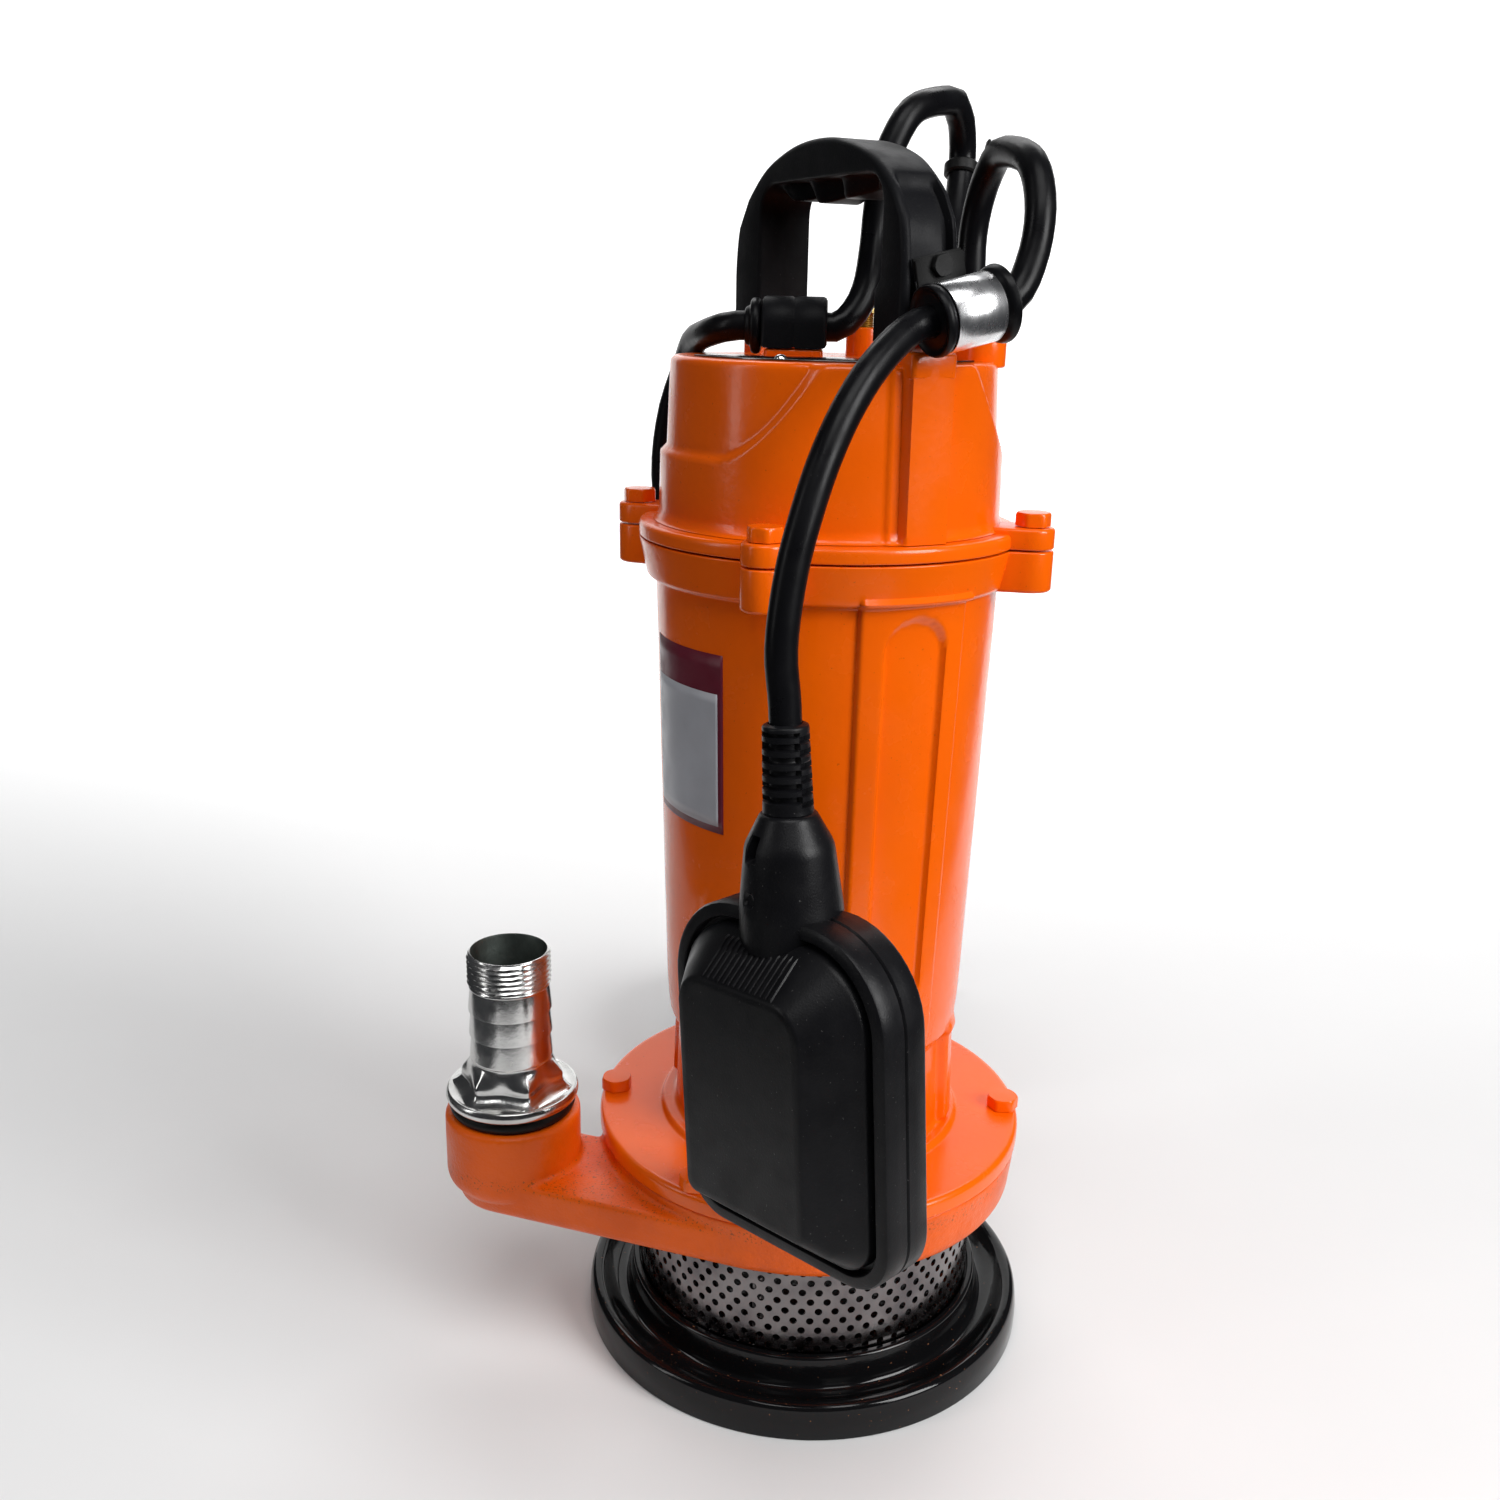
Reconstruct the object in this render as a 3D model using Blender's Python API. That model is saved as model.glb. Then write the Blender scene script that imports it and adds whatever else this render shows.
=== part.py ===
"""Submersible sump pump with a float switch. Metres, +Z up, the foot stands on z = 0.

The shaft is the Z axis, the discharge arm runs along -X and the carry handle lies along the
diagonal from +X -Y to -X +Y.
"""
import math

import bmesh
import bpy
from mathutils import Matrix, Vector

# Fits
GAP = 0.0003
PLAY = 0.0005
FLOOR_GAP = 0.0001
CUT_OVER = 0.01
LARGE_STEPS = 24
MID_STEPS = 18
SMALL_STEPS = 12
BOLT_STEPS = 8

# Foot, strainer and stays
FOOT_RADIUS = 0.080
FOOT_SHEET = 0.0015
FOOT_RIM_HEIGHT = 0.0125
FOOT_RIM_ROLL = 0.0035
FOOT_DISH_HEIGHT = 0.009
COLLAR_HEIGHT = 0.0195
COLLAR_WIDTH = 0.0025
SEAT_DEPTH = 0.006
SEAT_WIDTH = 0.0025
STRAINER_RADIUS = 0.061
STRAINER_WALL = 0.001
STAY_RADIUS = 0.003
STAY_GAP = 0.0009
STAY_COUNT = 3

# Volute, suction plate and outlet
VOLUTE_BOTTOM = 0.057
VOLUTE_HEIGHT = 0.0187
VOLUTE_RADIUS = 0.0752
VOLUTE_DRAFT = 0.0018
VOLUTE_FLOOR = 0.005
CHAMBER_RADIUS = 0.058
RECESS_RADIUS = 0.0635
RECESS_DEPTH = 0.004
INLET_RADIUS = 0.018
SUCTION_SPIGOT_RADIUS = 0.043
SUCTION_FLANGE = 0.003
OUTLET_X = -0.0912
OUTLET_Y = -0.0549
ARM_HALF_WIDTH = 0.0195
ARM_HEIGHT = 0.0145
BOSS_RADIUS = 0.0233
BOSS_TOP = 0.090
BOSS_LENGTH = 0.027
OUTLET_BORE = 0.0145
PASSAGE_WIDTH = 0.014
PASSAGE_HEIGHT = 0.0075

# Hose fitting
FITTING_GASKET = 0.004
FITTING_GASKET_RADIUS = 0.021
FITTING_FLANGE_RADIUS = 0.0228
FITTING_FLANGE = 0.004
FITTING_HEX_HEIGHT = 0.011
FITTING_HEX_RADIUS = 0.0195
FITTING_TUBE_RADIUS = 0.0139
FITTING_WALL = 0.0022
FITTING_TUBE_LENGTH = 0.039
BARB_COUNT = 3
BARB_STEP = 0.0007
THREAD_LENGTH = 0.012

# Motor casing
DISC_RADIUS = 0.0755
DISC_THICKNESS = 0.006
DISC_ROUND = 0.0025
RING_RADIUS = 0.053
RING_HEIGHT = 0.002
NECK_RADIUS = 0.047
NECK_LENGTH = 0.033
RIB_WIDTH = 0.008
RIB_DEPTH = 0.0035
RIB_COUNT = 4
OIL_RADIUS = 0.034
OIL_ROOF = 0.007
CASING_BOTTOM_RADIUS = 0.0513
CASING_TOP_RADIUS = 0.0556
CASING_LENGTH = 0.1575
CASING_ROUND = 0.012
CASING_WALL = 0.003
CASING_RAMP = 0.005
FLANGE_STEP = 0.0029
FLANGE_FLARE = 0.0026
CASING_FLANGE = 0.0126
SEAL_GROOVE_INSET = 0.0056
SEAL_GROOVE_WIDTH = 0.003
SEAL_GROOVE_DEPTH = 0.0017

# Motor
SHAFT_RADIUS = 0.0075
SHAFT_SEAL_RADIUS = 0.006
SHAFT_END_RADIUS = 0.005
BEARING_RADIUS = 0.0175
BEARING_WIDTH = 0.011
BEARING_COLLAR = 0.0045
HUB_DROP = 0.005
SHAFT_REACH = 0.004
SHAFT_POCKET = 0.006
SHAFT_TIP = 0.001
STATOR_LENGTH = 0.070
STATOR_BORE_RADIUS = 0.0275
STATOR_LIFT = 0.014
ROTOR_SHORT = 0.002
SLOT_COUNT = 6
SLOT_RADIUS = 0.0042
WINDING_WIDTH = 0.013
WINDING_UPPER = 0.019
WINDING_LOWER = 0.0105
BAR_REACH = 0.004
IMPELLER_RADIUS = 0.050
IMPELLER_SHROUD = 0.002
IMPELLER_GAP = 0.0012
VANE_HEIGHT = 0.0048
VANE_THICKNESS = 0.0025
VANE_INSET = 0.002
VANE_SWEEP = math.radians(55)
VANE_COUNT = 5
HUB_RADIUS = 0.011
NUT_ACROSS = 0.013
NUT_HEIGHT = 0.005
SEAL_PLATE = 0.0034
SEAL_PLATE_BORE = 0.0095
SEAL_SEAT_RADIUS = 0.013
SEAL_SEAT_HEIGHT = 0.005
SEAL_RING_RADIUS = 0.012
SEAL_RING_HEIGHT = 0.014
SEAL_STEP = 0.002

# Top cover
COVER_FLANGE = 0.0048
COVER_HEIGHT = 0.0555
COVER_STEP = 0.0077
COVER_DRAFT = 0.0022
COVER_WALL = 0.0027
COVER_EDGE = 0.004
COVER_ROOF = 0.004
HUB_WALL = 0.0045
SKIRT_BOTTOM = 0.0014
SKIRT_TOP = 0.0025
SKIRT_SINK = 0.0012
SKIRT_LOW = 0.0205
SKIRT_FLAT = math.radians(30)
SKIRT_SWEEP = math.radians(38)
SKIRT_STEPS = 40
PILLAR_REACH = 0.0066
PILLAR_WIDTH = 0.0165
PILLAR_RISE = 0.0035
CAPACITOR_HEIGHT = 0.042
CAPACITOR_NECK = 0.003
CAPACITOR_LIFT = 0.004
CAPACITOR_CLEAR = 0.0016
CAPACITOR_ANGLE = math.radians(225)

# Screws
EAR_REACH = 0.0049
EAR_RADIUS = 0.0075
EAR_SINK = 0.0034
EAR_RISE = 0.0018
EAR_COUNT = 4
FLANGE_BOLT_CIRCLE = 0.0704
FLANGE_BOLT_COUNT = 6
FLANGE_BOLT_START = math.radians(15)
BOLT_RADIUS = 0.003
BOLT_ACROSS = 0.010
BOLT_HEAD = 0.004
SCREW_RADIUS = 0.0025
SCREW_ACROSS = 0.008
SCREW_HEAD = 0.0035
SCREW_SPARE = 0.002
BLIND_FLOOR = 0.001

# Handle
HANDLE_ANGLE = math.radians(-45)
HANDLE_OVERHANG = 0.0023
HANDLE_DEPTH = 0.0187
HANDLE_LEG = 0.0152
HANDLE_HEIGHT = 0.0575
HANDLE_GRIP = 0.0125
HANDLE_EDGE = 0.0022
HANDLE_PAD = 0.0057
HANDLE_SCALLOP = 0.0016
HANDLE_SCALLOP_COUNT = 4
HANDLE_BOLT_INSET = 0.0105
HANDLE_BOLT_GRIP = 0.017
ARCH = ((1.0, 0.0), (1.0, 0.36), (0.97, 0.55), (0.91, 0.66), (0.81, 0.76), (0.6, 0.89), (0.3, 0.975))

# Cords
CORD_RADIUS = 0.0045
CORD_STEP = 0.018
LOOP_STEP = 0.0105
CORD_TOTAL = 5.0

# Saddle
SADDLE_X = -0.0105
SADDLE_Y = -0.0085
SADDLE_ANGLE = math.radians(195)
SADDLE_LENGTH = 0.020
SADDLE_PAD = 0.0025
SADDLE_WALL = 0.0024
SLEEVE_WALL = 0.0015
SLEEVE_LIP = 0.0018
SLEEVE_LIP_LENGTH = 0.003

# Float clamp
CLAMP_OFFSET = 0.011
CLAMP_ACROSS = 0.0044
CLAMP_RISE = 0.0144
CLAMP_TILT = math.radians(13)
CLAMP_RADIUS = 0.0097
CLAMP_SHEET = 0.001
CLAMP_LENGTH = 0.016
CLAMP_TAB = 0.016
CLAMP_LIP_RADIUS = 0.0104
CLAMP_LIP_LENGTH = 0.003
CLAMP_SCREW = 0.011

# Gland and oil plug
GLAND_X = 0.0346
GLAND_Y = 0.0208
GLAND_HALF = 0.0059
GLAND_BOLT_HALF = 0.0148
GLAND_PAD = 0.007
GLAND_WALL = 0.0025
GLAND_BUSHING = 0.0065
GLAND_PLATE = 0.002
GLAND_BOLT_RADIUS = 0.002
GLAND_BOLT_ACROSS = 0.007
GLAND_BOLT_HEAD = 0.0028
OIL_PLUG_X = 0.004
OIL_PLUG_Y = 0.022
OIL_POST_RADIUS = 0.006
OIL_POST = 0.009
OIL_PLUG_LIFT = 0.0045
OIL_PLUG_HEAD = 0.0045

# Float, in its own frame: X across, -Y to the front, Z up, origin at the top of the rim
FLOAT_TOP = Vector((0.0217, -0.1021, 0.2001))
FLOAT_TURN = math.radians(-27.8)
FLOAT_LEAN = math.radians(-4.7)
FLOAT_WIDTH = 0.082
FLOAT_HEIGHT = 0.1024
FLOAT_TOP_CORNER = 0.027
FLOAT_LOW_CORNER = 0.016
FLOAT_RIM = 0.0087
FLOAT_RIM_EDGE = 0.0052
FLOAT_PANEL_INSET = 0.018
FLOAT_THICKNESS = 0.0456
FLOAT_WALL = 0.0025
NECK_SINK = 0.009
NECK_HEIGHT = 0.019
NECK_BOTTOM_RADIUS = 0.0143
NECK_TOP_RADIUS = 0.0122
NECK_CONE = 0.0085
RELIEF_LENGTH = 0.0243
RELIEF_RADIUS = 0.0067
RELIEF_TOP_RADIUS = 0.0062
SWITCH_TOP = 0.018
SWITCH_HEIGHT = 0.024
SWITCH_WIDTH = 0.020
SWITCH_DEPTH = 0.010
SWITCH_PLACE = 0.009
BALL_RADIUS = 0.008
BALL_REST = 0.086
LEVER_LENGTH = 0.024
LEVER_WIDTH = 0.006
LEVER_SHEET = 0.0008
LEVER_PLACE = 0.0098
LEVER_LEAN = math.radians(8)

# Coil and plug
COIL_X = -0.0445
COIL_Y = 0.165
COIL_RADIUS = 0.0575
COIL_START = math.radians(209)
COIL_TURNS = 13
COIL_EXTRA = math.radians(24)
COIL_LAYERS = 6
COIL_PITCH = 0.0096
COIL_POINTS = 24
PLUG_RADIUS = 0.0185
PLUG_BODY = 0.030
PLUG_GRIP_RADIUS = 0.0125
PLUG_GRIP = 0.016
PLUG_RELIEF = 0.028
PLUG_RELIEF_RADIUS = 0.0075
PLUG_LIP = 0.0015
PLUG_STEP = 0.004
PLUG_SHOULDER = 0.006
PLUG_ASIDE = -0.038
PLUG_BEHIND = 0.083
PLUG_TURN = math.radians(27)
PIN_RADIUS = 0.0024
PIN_LENGTH = 0.019
PIN_HALF = 0.0095
PIN_ROOT = 0.005

# Levels that follow from the sizes above
COLLAR_SEAT = COLLAR_HEIGHT - SEAT_DEPTH
WELL_RADIUS = STRAINER_RADIUS - STRAINER_WALL - SEAT_WIDTH
STAY_CIRCLE = WELL_RADIUS - STAY_RADIUS - STAY_GAP
VOLUTE_TOP = VOLUTE_BOTTOM + VOLUTE_HEIGHT
CHAMBER_FLOOR = VOLUTE_BOTTOM + VOLUTE_FLOOR
RECESS_FLOOR = VOLUTE_TOP - RECESS_DEPTH
DISC_BOTTOM = VOLUTE_TOP + GAP
DISC_TOP = DISC_BOTTOM + DISC_THICKNESS
NECK_TOP = DISC_TOP + RING_HEIGHT + NECK_LENGTH
CASING_TOP = NECK_TOP + CASING_LENGTH
FLANGE_BOTTOM = CASING_TOP
FLANGE_BOTTOM_RADIUS = CASING_TOP_RADIUS + FLANGE_STEP
FLANGE_RADIUS = FLANGE_BOTTOM_RADIUS + FLANGE_FLARE
SEAL_GROOVE_RADIUS = FLANGE_RADIUS - SEAL_GROOVE_INSET
EAR_CIRCLE = FLANGE_RADIUS + EAR_REACH
EAR_ROOT = FLANGE_RADIUS - EAR_SINK
COVER_BOTTOM_RADIUS = FLANGE_RADIUS - COVER_STEP
COVER_TOP_RADIUS = COVER_BOTTOM_RADIUS - COVER_DRAFT
COVER_INNER_RADIUS = COVER_TOP_RADIUS - COVER_WALL
SKIRT_BOTTOM_RADIUS = COVER_BOTTOM_RADIUS + SKIRT_BOTTOM
SKIRT_TOP_RADIUS = COVER_TOP_RADIUS + SKIRT_TOP
SKIRT_INNER_RADIUS = COVER_TOP_RADIUS - SKIRT_SINK
PILLAR_RADIUS = COVER_TOP_RADIUS + PILLAR_REACH
HUB_OUTER_RADIUS = BEARING_RADIUS + GAP + HUB_WALL
CAPACITOR_RADIUS = 0.5 * (COVER_INNER_RADIUS - HUB_OUTER_RADIUS) - CAPACITOR_CLEAR
CAPACITOR_PLACE = COVER_INNER_RADIUS - CAPACITOR_RADIUS - CAPACITOR_CLEAR
HANDLE_HALF_LENGTH = COVER_TOP_RADIUS + HANDLE_OVERHANG
FLANGE_TOP = FLANGE_BOTTOM + CASING_FLANGE
COVER_BOTTOM = FLANGE_TOP + 2 * GAP
COVER_TOP = COVER_BOTTOM + COVER_HEIGHT
EAR_TOP = COVER_BOTTOM + COVER_FLANGE + EAR_RISE
OIL_TOP = NECK_TOP - BEARING_WIDTH - OIL_ROOF
LOWER_SEAT = OIL_TOP + OIL_ROOF
MOTOR_FLOOR = LOWER_SEAT + BEARING_WIDTH + BEARING_COLLAR
STATOR_BOTTOM = MOTOR_FLOOR + STATOR_LIFT
STATOR_TOP = STATOR_BOTTOM + STATOR_LENGTH
STATOR_RADIUS = CASING_BOTTOM_RADIUS - CASING_WALL - GAP
UPPER_SEAT = COVER_BOTTOM + BEARING_WIDTH - HUB_DROP
SHAFT_TOP = UPPER_SEAT + SHAFT_REACH
IMPELLER_TOP = RECESS_FLOOR - IMPELLER_GAP
SHROUD_BOTTOM = IMPELLER_TOP - IMPELLER_SHROUD
HANDLE_FOOT = COVER_TOP + HANDLE_PAD + GAP
HANDLE_BOLT_PLACE = HANDLE_HALF_LENGTH - HANDLE_BOLT_INSET
CLAMP_ALONG = HANDLE_HALF_LENGTH + CLAMP_OFFSET
SADDLE_PAD_TOP = COVER_TOP + SADDLE_PAD
SADDLE_AXIS = SADDLE_PAD_TOP + GAP + SLEEVE_WALL + CORD_RADIUS + GAP
GLAND_PAD_TOP = COVER_TOP + GLAND_PAD
BUSHING_TOP = GLAND_PAD_TOP + GAP + GLAND_BUSHING
PLATE_TOP = BUSHING_TOP + GAP + GLAND_PLATE
GASKET_TOP = BOSS_TOP + GAP + FITTING_GASKET
FITTING_BOTTOM = GASKET_TOP + GAP
CORD_HOLE = CORD_RADIUS + GAP
COIL_LIFT = CORD_RADIUS + FLOOR_GAP


def clear_scene():
    for old in list(bpy.data.objects):
        bpy.data.objects.remove(old, do_unlink=True)


def finish(name, colour, roughness, metallic=0.0):
    made = bpy.data.materials.new(name)
    made.use_nodes = True
    shader = made.node_tree.nodes["Principled BSDF"]
    shader.inputs["Base Color"].default_value = (*colour, 1.0)
    shader.inputs["Roughness"].default_value = roughness
    shader.inputs["Metallic"].default_value = metallic
    return made


def circle(radius, steps, x=0.0, y=0.0):
    turns = [2 * math.pi * i / steps for i in range(steps)]
    return [(x + radius * math.cos(a), y + radius * math.sin(a)) for a in turns]


def stadium(half, radius, steps):
    """Outline of two half circles whose centres lie at -half and +half on X."""
    points = []
    for centre, start in ((half, -math.pi / 2), (-half, math.pi / 2)):
        for i in range(steps + 1):
            turn = start + math.pi * i / steps
            points.append((centre + radius * math.cos(turn), radius * math.sin(turn)))
    return points


def rounded_box(width, height, top_corner, low_corner, inset, steps=5):
    """Outline of a rounded box that hangs below y = 0, moved inwards by inset."""
    half = width / 2 - inset
    top = -inset
    low = inset - height
    points = []
    corners = (
        (half, low, low_corner, -math.pi / 2),
        (half, top, top_corner, 0),
        (-half, top, top_corner, math.pi / 2),
        (-half, low, low_corner, math.pi),
    )
    for x, y, corner, start in corners:
        radius = max(corner - inset, 0.15 * corner)
        centre_x = x - math.copysign(radius, x)
        centre_y = y + radius if y == low else y - radius
        for i in range(steps + 1):
            turn = start + math.pi / 2 * i / steps
            place = (centre_x + radius * math.cos(turn), centre_y + radius * math.sin(turn))
            points.append(place)
    return points


def inset_outline(outline, distance):
    """Move each point of a counter-clockwise outline inwards, square to its neighbours."""
    moved = []
    for i, (x, y) in enumerate(outline):
        before = outline[i - 1]
        after = outline[(i + 1) % len(outline)]
        run = Vector((after[0] - before[0], after[1] - before[1])).normalized()
        moved.append((x - run.y * distance, y + run.x * distance))
    return moved


def stack(sections):
    """Closed body through outlines of equal count, each given with its height."""
    body = bmesh.new()
    rings = [[body.verts.new((x, y, height)) for x, y in outline] for outline, height in sections]
    join_rings(body, rings)
    body.faces.new(rings[0])
    body.faces.new(rings[-1])
    bmesh.ops.recalc_face_normals(body, faces=body.faces)
    return body


def join_rings(body, rings):
    for first, second in zip(rings, rings[1:]):
        count = len(first)
        for i in range(count):
            j = (i + 1) % count
            body.faces.new((first[i], first[j], second[j], second[i]))


def cup(outer, inner):
    """Open shell: outer and inner lists of (outline, height) start at the open edge."""
    body = bmesh.new()
    sections = outer[::-1] + inner
    rings = [[body.verts.new((x, y, height)) for x, y in outline] for outline, height in sections]
    join_rings(body, rings)
    body.faces.new(rings[0])
    body.faces.new(rings[-1])
    bmesh.ops.recalc_face_normals(body, faces=body.faces)
    return body


def prism(outline, bottom, top):
    return stack([(outline, bottom), (outline, top)])


def cylinder(radius, bottom, top, steps=SMALL_STEPS, x=0.0, y=0.0):
    return prism(circle(radius, steps, x, y), bottom, top)


def box(low, high):
    (x0, y0, z0), (x1, y1, z1) = low, high
    return prism([(x0, y0), (x1, y0), (x1, y1), (x0, y1)], z0, z1)


def lathe(profile, steps):
    """Turn a closed outline of (radius, height) points about Z."""
    body = bmesh.new()
    rings = []
    for radius, height in profile:
        if radius == 0:
            rings.append([body.verts.new((0, 0, height))])
        else:
            rings.append([body.verts.new((x, y, height)) for x, y in circle(radius, steps)])
    for first, second in zip(rings, rings[1:] + rings[:1]):
        if len(first) == 1 and len(second) == 1:
            continue
        for i in range(steps):
            j = (i + 1) % steps
            corners = (
                first[i % len(first)],
                first[j % len(first)],
                second[j % len(second)],
                second[i % len(second)],
            )
            body.faces.new(list(dict.fromkeys(corners)))
    bmesh.ops.recalc_face_normals(body, faces=body.faces)
    return body


def band(inner, outer, low, high, steps):
    """Plain ring of rectangular section."""
    return lathe([(inner, low), (outer, low), (outer, high), (inner, high)], steps)


def moved(body, matrix):
    bmesh.ops.transform(body, matrix=matrix, verts=body.verts)
    return body


def gathered(bodies):
    """Several separate bodies in one mesh, for use as one tool."""
    whole = bmesh.new()
    for body in bodies:
        mesh = bpy.data.meshes.new("tool")
        body.to_mesh(mesh)
        body.free()
        whole.from_mesh(mesh)
        bpy.data.meshes.remove(mesh)
    return whole


def combined(body, tool, operation):
    """Join body with tool or cut tool out of it."""
    pair = []
    for part in (body, tool):
        mesh = bpy.data.meshes.new("work")
        part.to_mesh(mesh)
        part.free()
        made = bpy.data.objects.new("work", mesh)
        bpy.context.collection.objects.link(made)
        pair.append(made)
    step = pair[0].modifiers.new("combine", "BOOLEAN")
    step.operation = operation
    step.solver = "EXACT"
    step.object = pair[1]
    result = bmesh.new()
    result.from_object(pair[0], bpy.context.evaluated_depsgraph_get())
    for made in pair:
        mesh = made.data
        bpy.data.objects.remove(made, do_unlink=True)
        bpy.data.meshes.remove(mesh)
    bmesh.ops.remove_doubles(result, verts=result.verts, dist=1e-6)
    bmesh.ops.dissolve_degenerate(result, edges=result.edges, dist=1e-6)
    return result


def cut(body, *tools):
    return combined(body, gathered(tools), "DIFFERENCE")


def joined(body, *tools):
    for tool in tools:
        body = combined(body, tool, "UNION")
    return body


def add(name, body, look, place=Matrix.Identity(4), parent=None):
    mesh = bpy.data.meshes.new(name)
    body.to_mesh(mesh)
    body.free()
    mesh.materials.append(look)
    mesh.shade_smooth()
    mesh.set_sharp_from_angle(angle=math.radians(35))
    made = bpy.data.objects.new(name, mesh)
    bpy.context.collection.objects.link(made)
    made.parent = parent
    made.matrix_basis = place
    return made


def pivot(name, place):
    made = bpy.data.objects.new(name, None)
    bpy.context.collection.objects.link(made)
    made.matrix_basis = place
    return made


def at(x, y, z):
    return Matrix.Translation((x, y, z))


def turned(angle, axis="Z"):
    return Matrix.Rotation(angle, 4, axis)


def around(count, radius, start=0.0):
    for i in range(count):
        angle = start + 2 * math.pi * i / count
        yield i + 1, turned(angle) @ at(radius, 0, 0)


def bolt(across, head, radius, length):
    """Hexagon head on z = 0 with the shank below it."""
    corner = across / math.sqrt(3)
    shank = prism(circle(radius, BOLT_STEPS), -length, 0.5 * head)
    return joined(prism(circle(corner, 6), 0, head), shank)


def tube_path(points, spacing):
    """Points at even steps on a smooth curve; the first and last stretch stay straight."""
    knots = [Vector(p) for p in points]
    fine = []
    for a, b, c, d in zip(knots, knots[1:], knots[2:], knots[3:]):
        for step in range(24):
            t = step / 24
            bend = (2 * a - 5 * b + 4 * c - d) * t * t + (3 * b - 3 * c + d - a) * t ** 3
            fine.append(0.5 * (2 * b + (c - a) * t + bend))
    fine.append(knots[-2])
    total = path_length(fine)
    count = max(2, round(total / spacing))
    path = [knots[0], fine[0]]
    walked = 0.0
    for p, q in zip(fine, fine[1:]):
        walked += (q - p).length
        if walked >= total / count * (len(path) - 1) - 1e-9 and len(path) < count + 1:
            path.append(q)
    return path + [fine[-1], knots[-1]]


def path_length(path):
    return sum((q - p).length for p, q in zip(path, path[1:]))


def add_tube(name, path, look, resolution):
    shape = bpy.data.curves.new(name, "CURVE")
    shape.dimensions = "3D"
    shape.bevel_depth = CORD_RADIUS
    shape.bevel_resolution = resolution
    shape.use_fill_caps = True
    line = shape.splines.new("POLY")
    line.points.add(len(path) - 1)
    for point, place in zip(line.points, path):
        point.co = (*place, 1.0)
    shape.materials.append(look)
    made = bpy.data.objects.new(name, shape)
    bpy.context.collection.objects.link(made)
    return made


def build_foot(black, steel):
    seat = STRAINER_RADIUS + GAP
    collar = seat + COLLAR_WIDTH
    crest = FOOT_RADIUS - FOOT_RIM_ROLL
    dish_edge = crest - FOOT_RIM_ROLL
    shoulder = FOOT_RIM_HEIGHT - FOOT_RIM_ROLL
    upper = [
        (0, FOOT_SHEET),
        (WELL_RADIUS, FOOT_SHEET),
        (WELL_RADIUS, COLLAR_SEAT),
        (seat, COLLAR_SEAT),
        (seat, COLLAR_HEIGHT),
        (collar, COLLAR_HEIGHT),
        (collar + FOOT_SHEET, FOOT_DISH_HEIGHT),
        (dish_edge, FOOT_DISH_HEIGHT),
        (crest - 0.5 * FOOT_RIM_ROLL, FOOT_RIM_HEIGHT - 0.2 * FOOT_RIM_ROLL),
        (crest, FOOT_RIM_HEIGHT),
        (FOOT_RADIUS - 0.3 * FOOT_RIM_ROLL, FOOT_RIM_HEIGHT - 0.3 * FOOT_RIM_ROLL),
        (FOOT_RADIUS, shoulder),
        (FOOT_RADIUS, 0),
    ]
    lower = [
        (FOOT_RADIUS - FOOT_SHEET, 0),
        (FOOT_RADIUS - FOOT_SHEET, shoulder),
        (crest, FOOT_RIM_HEIGHT - FOOT_SHEET),
        (dish_edge, FOOT_DISH_HEIGHT - FOOT_SHEET),
        (collar, FOOT_DISH_HEIGHT - FOOT_SHEET),
        (seat, COLLAR_SEAT - FOOT_SHEET),
        (WELL_RADIUS + FOOT_SHEET, COLLAR_SEAT - FOOT_SHEET),
        (WELL_RADIUS + FOOT_SHEET, 0),
        (0, 0),
    ]
    add("base_foot", lathe(upper + lower, LARGE_STEPS), black)
    inner = STRAINER_RADIUS - STRAINER_WALL
    low, high = COLLAR_SEAT + GAP, VOLUTE_BOTTOM - GAP
    add("strainer", band(inner, STRAINER_RADIUS, low, high, LARGE_STEPS), steel)
    for number, place in around(STAY_COUNT, STAY_CIRCLE, math.radians(30)):
        stay = cylinder(STAY_RADIUS, FOOT_SHEET + GAP, VOLUTE_BOTTOM - GAP)
        add(f"foot_stay_{number}", stay, steel, place)


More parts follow.
